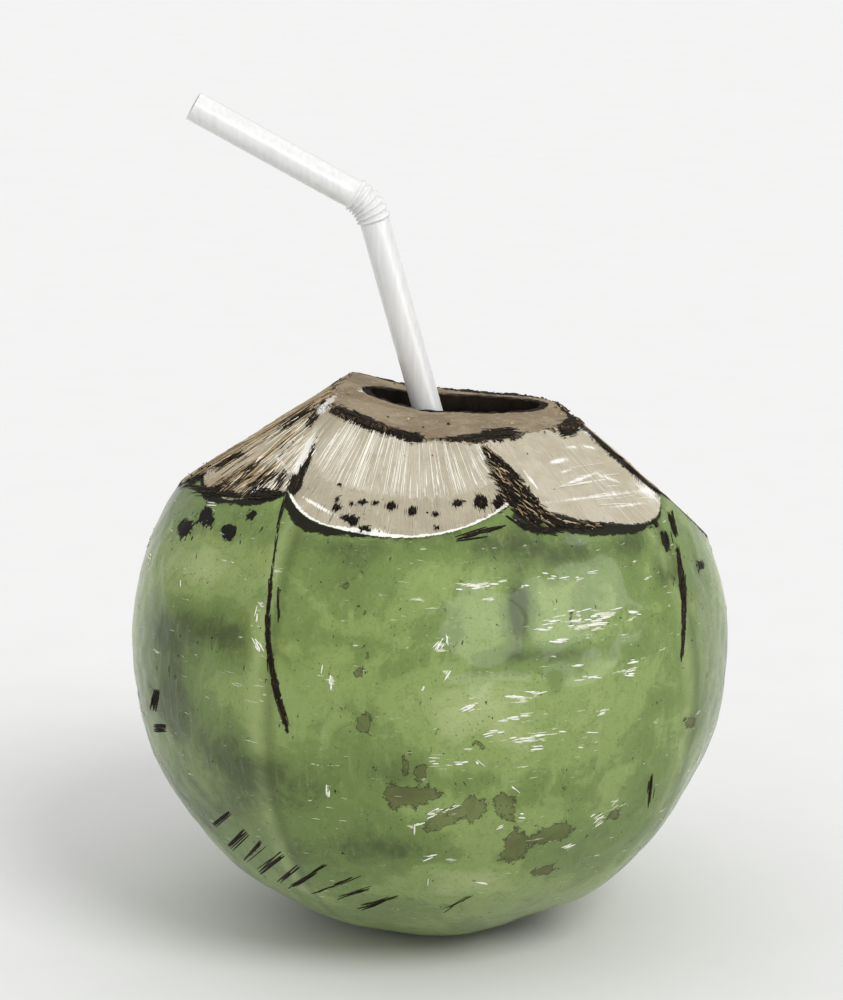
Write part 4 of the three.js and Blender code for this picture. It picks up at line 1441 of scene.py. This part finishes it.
def makeSkin():
    look = skinFinish
    skin = Finish("waxy green skin", Coat_Roughness=0.07, Coat_IOR=1.4, Specular_IOR_Level=0.16)
    spot = skin.position()
    cloud = skin.noise(spot, 34, 5, 0.62, 0.5)
    patch = skin.noise(spot, 95, 5, 0.65, 0.8)
    fine = skin.noise(spot, 420, 4, 0.7)
    # the green's tone: noise plus the marks' fields, which carry painted shade, painted highlight and a
    # painted reflection of window bars
    level = skin.add(skin.attribute("mottleAndPaintedLight"), skin.spread(cloud, -0.42, 0.42))
    level = skin.add(level, skin.spread(patch, -0.24, 0.24))
    level = skin.add(level, skin.span(fine, 0.25, 0.75, -0.05, 0.05, "LINEAR"))
    skin.colour = skin.mix(skin.span(level, -1.0, -0.25), look["deep"], look["green"])
    skin.cover(skin.span(level, -0.2, 0.3), look["light"])
    skin.cover(skin.span(level, 0.42, 1.1, 0, 0.8), look["pale"])
    for height in (-0.42, 0.02, 0.5):  # thin darker rims where one tone ends and the next begins
        away = skin.math("ABSOLUTE", skin.less(level, height))
        skin.cover(skin.span(away, 0.035, 0.0, 0, 0.22), look["deep"])
    lengthwise = skin.noise(skin.position((1, 1, 0.12)), 620, 3, 0.6)
    skin.cover(skin.span(lengthwise, 0.52, 0.78, 0, 0.22), look["pale"])
    grainy = skin.noise(spot, 1250, 2, 0.6)
    skin.cover(skin.span(grainy, 0.56, 0.7, 0, 0.28), look["deep"])
    freckle = skin.cells(spot, 520)
    freckled = skin.add(freckle, skin.span(patch, 0.4, 0.6, 0, 0.25))
    skin.cover(skin.span(freckled, 0.22, 0.12, 0, 0.5), look["deep"])

    # painted highlight on the left of each ridge, painted shade on its right
    ridgeNoise = skin.span(cloud, 0.35, 0.6)
    skin.cover(skin.times(skin.attribute("ridgePaintedHighlight"), skin.times(ridgeNoise, 0.55)), look["pale"])
    skin.cover(skin.times(skin.attribute("ridgePaintedShade"), 0.45), look["deep"])

    edgeNoise = skin.spread(skin.noise(spot, 190, 6, 0.75, 0.7), -0.5, 0.5)
    stain = skin.add(skin.attribute("stain"), edgeNoise)
    inStain = skin.span(stain, 0.42, 0.47)
    stainRing = skin.times(inStain, skin.span(stain, 0.6, 0.48))
    skin.cover(skin.times(inStain, skin.span(patch, 0.35, 0.65, 0.42, 0.66)), look["stain"])
    skin.cover(skin.times(stainRing, 0.85), look["stainEdge"])
    dabbed = skin.spread(skin.noise(skin.position((1, 1, 0.6)), 620, 4, 0.7, 0.3), -0.7, 0.6)
    spotted = skin.span(skin.add(skin.attribute("spot"), dabbed), 0.45, 0.62)
    skin.cover(spotted, look["burnt"])

    # pale dashes: painted highlight in the window's reflection, and rubbed wax
    dashes = skin.noise(skin.position((0.36, 0.36, 2.4)), 400, 4, 0.65, 0.35)
    scuffedAndHighlit = skin.times(skin.attribute("scuffAndHighlight"), 0.78)
    scuffedAndHighlit = skin.add(scuffedAndHighlit, skin.spread(dashes, -1.05, 0.5))
    scuffedAndHighlit = skin.span(scuffedAndHighlit, 0.34, 0.5)
    skin.cover(skin.times(scuffedAndHighlit, 0.8), look["scuffAndHighlight"])

    nearEdge = skin.add(skin.attribute("fromEdge"), skin.spread(patch, -1.6, 1.6))
    skin.cover(skin.span(nearEdge, 2.4, 0.2, 0, 0.4), look["deep"])
    # dark strokes: browned along the ridges, painted shade under the chops and low on the left
    strokes = skin.spread(skin.noise(skin.position((0.6, 0.6, 1.4)), 420, 4, 0.7, 0.4), -0.4, 0.4)
    bruiseAndShade = skin.add(skin.times(skin.attribute("bruiseAndShade"), 0.75), skin.times(strokes, 0.75))
    bruiseAndShade = skin.span(bruiseAndShade, 0.36, 0.6)
    skin.cover(skin.times(bruiseAndShade, 0.93), look["burnt"])
    # black band below each chop's edge: frayed skin, and painted shade under the front and right chops
    frayed = skin.less(skin.attribute("frayed"), skin.attribute("fromEdge"))
    frayed = skin.add(frayed, skin.times(strokes, 1.9))
    frayed = skin.times(skin.span(frayed, -0.2, 0.35), skin.span(skin.attribute("frayed"), 0.1, 0.5))
    skin.cover(skin.times(frayed, 0.97), look["burnt"])

    rough = skin.spread(fine, 0.26, 0.42)
    dry = skin.most(skin.most(bruiseAndShade, frayed), skin.most(spotted, scuffedAndHighlit))
    dry = skin.most(dry, skin.times(inStain, 0.6))
    rough = skin.add(rough, skin.times(dry, 0.35))
    wax = skin.span(dry, 0.0, 1.0, look["wax"], 0.02, "LINEAR")
    pores = skin.noise(spot, 1500, 2, 0.5)
    relief = skin.sum(
        (pores, 0.10), (lengthwise, 0.16), (patch, 0.5), (dashes, 0.22),
        (inStain, -0.18), (spotted, -0.5), (bruiseAndShade, -0.3),
    )
    return skin.use(
        Base_Color=skin.colour, Roughness=rough, Coat_Weight=wax, Normal=skin.bump(relief, 0.0007, 0.55)
    )


cutFinish = dict(
    cream=(0.555, 0.505, 0.395),
    shade=(0.47, 0.42, 0.315),
    white=(0.93, 0.91, 0.86),
    band=(0.47, 0.42, 0.31),
    tan=(0.34, 0.255, 0.15),
    brown=(0.13, 0.082, 0.042),
    dark=(0.010, 0.007, 0.005),
    greenLine=(0.10, 0.14, 0.035),
)


def makeCut():
    look = cutFinish
    cut = Finish(
        "fresh cut husk", Roughness=0.8, Specular_IOR_Level=0.1, Subsurface_Weight=0.05,
        Subsurface_Scale=0.002
    )
    spot, fibre = cut.position(), cut.attribute("fibre", "Vector")
    up, brown, streaky = cut.attribute("up"), cut.attribute("brown"), cut.attribute("streaky")
    streak = cut.noise(cut.stretched(fibre, (1, 1, 0.05)), 0.75, 4, 0.65)
    thinStreak = cut.noise(cut.stretched(fibre, (1, 1, 0.03)), 2.1, 3, 0.6)
    hairStreak = cut.noise(cut.stretched(fibre, (1, 1, 0.04)), 4.6, 2, 0.6)
    patch = cut.noise(spot, 120, 4, 0.6, 0.5)
    fine = cut.noise(spot, 900, 3, 0.6)
    cut.colour = cut.mix(cut.span(patch, 0.35, 0.65), look["shade"], look["cream"])
    cut.cover(cut.span(hairStreak, 0.5, 0.75, 0, 0.4), look["tan"])
    whiteness = cut.add(cut.spread(thinStreak, 0, 1), cut.spread(streak, -0.3, 0.3))
    inBand = cut.add(cut.attribute("inBand"), cut.spread(streak, -1.6, 1.6))
    inBand = cut.span(inBand, -0.25, 0.25)
    whiteness = cut.add(whiteness, cut.span(streaky, 0.0, 1.0, -0.8, -0.2, "LINEAR"))
    streaked = cut.times(cut.span(whiteness, 0.56, 0.66), cut.less(1.0, inBand))
    cut.cover(cut.times(streaked, 0.9), look["white"])
    bandColour = cut.mix(cut.span(patch, 0.35, 0.65), look["band"], tuple(0.86 * c for c in look["band"]))
    cut.cover(inBand, bandColour)

    aging = cut.add(brown, cut.spread(streak, -0.24, 0.24))
    aging = cut.add(aging, cut.spread(patch, -0.2, 0.2))
    cut.cover(cut.span(aging, 0.12, 0.7, 0, 0.9), look["tan"])
    cut.cover(cut.span(aging, 0.55, 1.05, 0, 0.9), look["brown"])
    hatch = cut.add(cut.spread(thinStreak, 0, 1), cut.span(brown, 0.35, 1.1, -0.42, 0.25, "LINEAR"))
    cut.cover(cut.span(hatch, 0.5, 0.62, 0, 0.95), look["dark"])
    # white strokes: fibres, and painted highlight beside the crease between the left and front chops
    pale = cut.span(cut.add(cut.attribute("pale"), cut.spread(hairStreak, -0.5, 0.5)), 0.35, 0.6)
    cut.cover(cut.times(pale, 0.92), look["white"])

    ends = cut.cells(cut.stretched(fibre, (1, 1, 0.8)), 0.33)
    ends = cut.times(cut.span(ends, 0.16, 0.08, 0, 0.35), inBand)
    cut.cover(ends, look["brown"])
    dots = cut.add(cut.attribute("dots"), cut.spread(hairStreak, -0.45, 0.45))
    dots = cut.span(dots, 0.42, 0.58)
    cut.cover(dots, look["dark"])

    frayed = cut.spread(cut.noise(cut.stretched(fibre, (1, 1, 0.25)), 1.1, 4, 0.7), -0.5, 0.5)
    torn = cut.add(cut.attribute("torn"), cut.times(frayed, 0.7))
    cut.cover(cut.span(torn, 0.4, 0.6, 0, 0.9), look["tan"])
    cut.cover(cut.span(torn, 0.62, 0.95, 0, 0.95), look["dark"])
    brushed = cut.spread(cut.noise(cut.stretched(fibre, (0.3, 0.3, 2.0)), 1.5, 4, 0.7), -0.6, 0.5)
    # dark patches along the rim and chop edges; the one down the right side is painted shade
    scorchAndShade = cut.add(cut.attribute("scorchAndShade"), cut.add(cut.times(frayed, 0.5), brushed))
    cut.cover(cut.span(scorchAndShade, 0.42, 0.62, 0, 0.97), look["dark"])
    nearRim = cut.add(cut.attribute("fromRim"), cut.times(frayed, 2.0))
    cut.cover(cut.span(nearRim, 0.7, 0.0, 0, 0.5), look["brown"])

    rind = cut.add(up, cut.spread(fine, -0.25, 0.25))
    edgeLine = cut.add(cut.attribute("edgeLine"), cut.spread(patch, -0.4, 0.4))
    whiteUp = cut.add(rind, cut.spread(cut.noise(spot, 70, 4, 0.65), 1.0, -0.6))
    edgeLine = cut.times(cut.span(edgeLine, 0.2, 0.7, 0, 0.92), cut.span(whiteUp, 1.5, 1.2))
    cut.cover(edgeLine, look["white"])
    cut.cover(cut.span(rind, 0.3, 0.15), look["greenLine"])
    edgeFray = cut.less(cut.attribute("cutFrayed"), up)
    edgeFray = cut.add(edgeFray, cut.add(frayed, brushed))
    edgeFray = cut.times(cut.span(edgeFray, -0.1, 0.4), cut.span(cut.attribute("cutFrayed"), 0.2, 0.7))
    cut.cover(cut.times(edgeFray, 0.96), look["dark"])
    relief = cut.sum((streak, 0.6), (thinStreak, 0.6), (hairStreak, 0.4), (fine, 0.2), (dots, -0.5))
    return cut.use(Base_Color=cut.colour, Normal=cut.bump(relief, 0.0008, 0.75))


topFinish = dict(
    tan=(0.31, 0.25, 0.165),
    pale=(0.53, 0.47, 0.36),
    brown=(0.225, 0.175, 0.11),
    dark=(0.010, 0.007, 0.005),
    white=(0.62, 0.58, 0.49),
)


def makeTop():
    look = topFinish
    top = Finish("browned top cut", Roughness=0.82, Specular_IOR_Level=0.12)
    spot = top.position()
    patch = top.noise(spot, 90, 5, 0.65, 0.7)
    grain = top.noise(spot, 520, 4, 0.7)
    ends = top.cells(spot, 620)
    top.colour = top.mix(top.span(patch, 0.38, 0.62), look["brown"], look["tan"])
    top.cover(top.span(grain, 0.52, 0.76, 0, 0.5), look["pale"])
    top.cover(top.span(ends, 0.2, 0.1, 0, 0.55), look["dark"])
    ragged = top.spread(top.noise(spot, 300, 4, 0.7, 0.5), -0.5, 0.5)
    nearRim = top.add(top.attribute("fromRim"), top.times(ragged, 2.4))
    top.cover(top.span(nearRim, 0.5, -0.2, 0, 0.8), look["dark"])
    # dark patches along the rim and chop edges, partly painted shade
    scorchAndShade = top.add(top.attribute("scorchAndShade"), top.times(ragged, 0.8))
    top.cover(top.span(scorchAndShade, 0.42, 0.6, 0, 0.97), look["dark"])
    pale = top.add(top.attribute("pale"), top.times(ragged, 0.7))
    top.cover(top.span(pale, 0.45, 0.62, 0, 0.9), look["white"])
    relief = top.sum((grain, 0.8), (ends, 0.5))
    return top.use(Base_Color=top.colour, Normal=top.bump(relief, 0.0006, 0.7))


def makeHollow():
    hollow = Finish("husk round the nut", Roughness=0.8)
    grain = hollow.noise(hollow.position((1, 1, 0.2)), 420, 4, 0.7)
    hollow.colour = hollow.mix(hollow.span(grain, 0.35, 0.65), topFinish["brown"], topFinish["tan"])
    return hollow.use(Base_Color=hollow.colour, Normal=hollow.bump(grain, 0.0005, 0.7))


# near black: the shell's brown darkened as painted shade in the mouth
shellFinish = dict(brown=(0.010, 0.006, 0.004), light=(0.026, 0.016, 0.010), dark=(0.004, 0.003, 0.002))


def makeShell():
    look = shellFinish
    shell = Finish("brown shell darkened as painted shade", Roughness=0.7, Specular_IOR_Level=0.1)
    patch = shell.noise(shell.position((1, 1, 0.5)), 130, 5, 0.65, 0.6)
    grain = shell.noise(shell.position((1, 1, 0.16)), 520, 4, 0.7)
    shell.colour = shell.mix(shell.span(patch, 0.36, 0.66), look["brown"], look["light"])
    shell.cover(shell.span(grain, 0.5, 0.72, 0, 0.7), look["dark"])
    # darker further down into the mouth: painted shade
    shadeDownTheHole = shell.add(shell.attribute("below"), shell.spread(patch, -1.5, 1.5))
    shell.cover(shell.span(shadeDownTheHole, 1.5, 7.0, 0, 0.5), look["dark"])
    relief = shell.sum((patch, 0.6), (grain, 0.6))
    return shell.use(Base_Color=shell.colour, Normal=shell.bump(relief, 0.0006, 0.8))


meatFinish = dict(white=(0.90, 0.88, 0.81), grey=(0.74, 0.74, 0.68), seam=(0.62, 0.50, 0.34))


def makeMeat():
    look = meatFinish
    meat = Finish(
        "soft white jelly", Roughness=0.18, Subsurface_Weight=0.55, Subsurface_Scale=0.006, Coat_Weight=0.5,
        Coat_Roughness=0.06
    )
    spot = meat.position()
    cloud = meat.noise(spot, 85, 4, 0.55)
    curd = meat.noise(spot, 340, 3, 0.6)
    meat.colour = meat.mix(meat.span(cloud, 0.35, 0.65), look["grey"], look["white"])
    meat.cover(meat.span(meat.attribute("below"), 1.6, 0.1, 0, 0.5), look["seam"])
    relief = meat.sum((cloud, 1.0), (curd, 0.3))
    return meat.use(Base_Color=meat.colour, Normal=meat.bump(relief, 0.0009, 0.5))


def makeWater():
    water = Finish(
        "cloudy coconut water", Base_Color=(0.93, 0.95, 0.92, 1), Roughness=0.02, IOR=1.335,
        Transmission_Weight=0.55
    )
    swirl = water.noise(water.position(), 60, 3, 0.5, 0.6)
    return water.use(Normal=water.bump(swirl, 0.0003, 0.12))


strawFinish = dict(white=(0.80, 0.80, 0.79), line=(0.73, 0.73, 0.72))


def makeStraw():
    look = strawFinish
    straw = Finish(
        "white straw plastic", Roughness=0.3, Subsurface_Weight=0.08, Subsurface_Scale=0.001,
        Coat_Weight=0.35, Coat_Roughness=0.08
    )
    drawn = straw.noise(straw.position((1, 1, 0.05)), 900, 2, 0.5)
    cloud = straw.noise(straw.position(), 60, 2, 0.5)
    straw.colour = straw.mix(straw.span(drawn, 0.35, 0.7), look["white"], look["line"])
    relief = straw.add(drawn, cloud)
    return straw.use(
        Base_Color=straw.colour, Roughness=straw.spread(cloud, 0.24, 0.36),
        Normal=straw.bump(relief, 0.0001, 0.35)
    )


def makeFibre(name, pale, mid, dark):
    fibre = Finish(name, Roughness=0.7, Specular_IOR_Level=0.15)
    tint = fibre.attribute("tint")
    grain = fibre.noise(fibre.position(), 1300, 3, 0.6)
    tint = fibre.add(tint, fibre.spread(grain, -0.12, 0.12))
    fibre.colour = fibre.mix(fibre.span(tint, 0.0, 0.55), pale, mid)
    fibre.cover(fibre.span(tint, 0.5, 1.0), dark)
    return fibre.use(Base_Color=fibre.colour, Normal=fibre.bump(grain, 0.0001, 0.6))


studio = dict(
    floorSize=14.0,  # metres
    floorColour=(0.79, 0.79, 0.787),
    sky=(1.0, 1.0, 1.0),
    zenith=1.05,  # brightness of the sky overhead and at the horizon
    horizon=0.42,
    keyAzimuth=38.0,  # soft key light from the right, in front
    keyElevation=42.0,
    keySpread=26.0,
    keyStrength=1.45,
    windowDistance=1.7,
    windowGlow=4.5,
    # azimuths and elevations in degrees
    panes=((12, 31, 10, 36), (37, 78, 10, 36), (12, 31, -1, 5), (37, 78, -1, 5)),
)


def addLight(name, kind, place, target, **settings):
    data = bpy.data.lights.new(name, kind)
    for key, value in settings.items():
        setattr(data, key, value)
    light = bpy.data.objects.new(name, data)
    light.location = place
    aim = target - place
    rise = math.atan2(aim[2], math.hypot(aim[0], aim[1]))
    light.rotation_euler = (math.pi / 2 + rise, 0, math.atan2(aim[1], aim[0]) - math.pi / 2)
    bpy.context.scene.collection.objects.link(light)
    return light


def makeSky():  # brighter overhead than at the horizon, even all round
    world = bpy.data.worlds.new("studio")
    bpy.context.scene.world = world
    world.use_nodes = True
    nodes, links = world.node_tree.nodes, world.node_tree.links
    direction = nodes.new("ShaderNodeTexCoord").outputs["Generated"]
    split = nodes.new("ShaderNodeSeparateXYZ")
    ramp = nodes.new("ShaderNodeMapRange")
    ramp.inputs["To Min"].default_value = studio["horizon"]
    ramp.inputs["To Max"].default_value = studio["zenith"]
    links.new(direction, split.inputs["Vector"])
    links.new(split.outputs["Z"], ramp.inputs["Value"])
    links.new(ramp.outputs["Result"], nodes["Background"].inputs["Strength"])
    nodes["Background"].inputs["Color"].default_value = (*studio["sky"], 1)


def buildStudio():
    half = studio["floorSize"] / 2 / mm
    corners = [(-half, -half, 0), (half, -half, 0), (half, half, 0), (-half, half, 0)]
    floor = makePiece("floor", corners, [(0, 1, 2, 3)], smooth=False)
    paper = Finish("pale floor", Roughness=1.0, Specular_IOR_Level=0.0)
    weave = paper.noise(paper.position(), 30, 4, 0.6)
    darker = tuple(0.985 * c for c in studio["floorColour"])
    floorColour = paper.mix(paper.span(weave, 0.3, 0.7), studio["floorColour"], darker)
    floor.data.materials.append(paper.use(Base_Color=floorColour))

    makeSky()
    target = np.array((0, 0, 0.085))
    key = target + towards(studio["keyAzimuth"], studio["keyElevation"]) * 3
    sun = addLight(
        "softKey", "SUN", key, target, energy=studio["keyStrength"], angle=math.radians(studio["keySpread"])
    )
    sun.visible_glossy = False
    # the panes only show in the wax of the skin
    for number, (left, right, low, high) in enumerate(studio["panes"]):
        distance = studio["windowDistance"]
        place = target + towards((left + right) / 2, (low + high) / 2) * distance
        width = 2 * distance * math.tan(math.radians((right - left) / 2))
        height = 2 * distance * math.tan(math.radians((high - low) / 2))
        glow = studio["windowGlow"] * math.pi * width * height
        size = dict(shape="RECTANGLE", size=width, size_y=height)
        pane = addLight(f"windowPane{number + 1}", "AREA", place, target, energy=glow, **size)
        pane.visible_diffuse = False
    settings = bpy.context.scene.view_settings
    settings.view_transform = "Standard"
    settings.look = "None"


print("making materials")
skinMaterial, cutMaterial, topMaterial, hollowMaterial = makeSkin(), makeCut(), makeTop(), makeHollow()
shellMaterial, meatMaterial, waterMaterial, strawMaterial = makeShell(), makeMeat(), makeWater(), makeStraw()
paleFibre = makeFibre("pale husk fibre", (0.92, 0.89, 0.79), (0.50, 0.38, 0.21), (0.055, 0.032, 0.016))
darkFibre = makeFibre("torn husk fibre", (0.62, 0.50, 0.31), (0.20, 0.12, 0.055), (0.010, 0.007, 0.005))
# pale flecks: painted highlight in front, rubbed wax behind
waxAndHighlightMaterial = makeFibre("rubbed wax and painted highlight", (0.86, 0.87, 0.76), (0.70, 0.72, 0.56), (0.45, 0.5, 0.3))


def settle(piece, slot, *replaced):
    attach(piece, "root")
    if replaced:
        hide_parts(*replaced)


print("making the husk")
settle(buildHusk([skinMaterial, cutMaterial, topMaterial, hollowMaterial]), "husk", "husk")
print("making shell, meat, water and straw")
settle(buildShell(shellMaterial), "shell", "shell")
settle(buildMeat(meatMaterial), "meat", "meat")
settle(buildWater(waterMaterial), "water", "water")
settle(buildStraw(strawMaterial), "straw", "straw")
print("laying fibres and crumbs")
looseThings = [
    buildCutFibres(paleFibre),
    buildObliqueFibres(paleFibre),
    buildTornFibres(darkFibre),
    buildRimFrays(darkFibre),
    buildDotTufts(darkFibre),
    buildCrumbs(darkFibre),
    # dark fibres along the dark cut marks, partly painted shade
    strandsOnSkin("dark_fibres_and_shade_on_cuts", cutMarks["scorchAndShade"], cutStrokes, 89, darkFibre),
    strandsOnSkin("dry_strokes_and_shade_on_skin", skinMarks["bruiseAndShade"], barkAndShadeStrokes, 87, darkFibre),
    strandsOnSkin("flecks_of_wax_and_painted_highlight", skinMarks["scuffAndHighlight"], waxAndHighlightFlecks, 88, waxAndHighlightMaterial),
    strandsBehind("dry_strokes_behind", strokesBehind, barkAndShadeStrokes, 90, darkFibre),
    strandsBehind("flecks_of_wax_behind", strewnFlecks(34, 91), waxAndHighlightFlecks, 92, waxAndHighlightMaterial),
]
for piece in looseThings:
    settle(piece, "husk")

print("setting floor and light")
buildStudio()
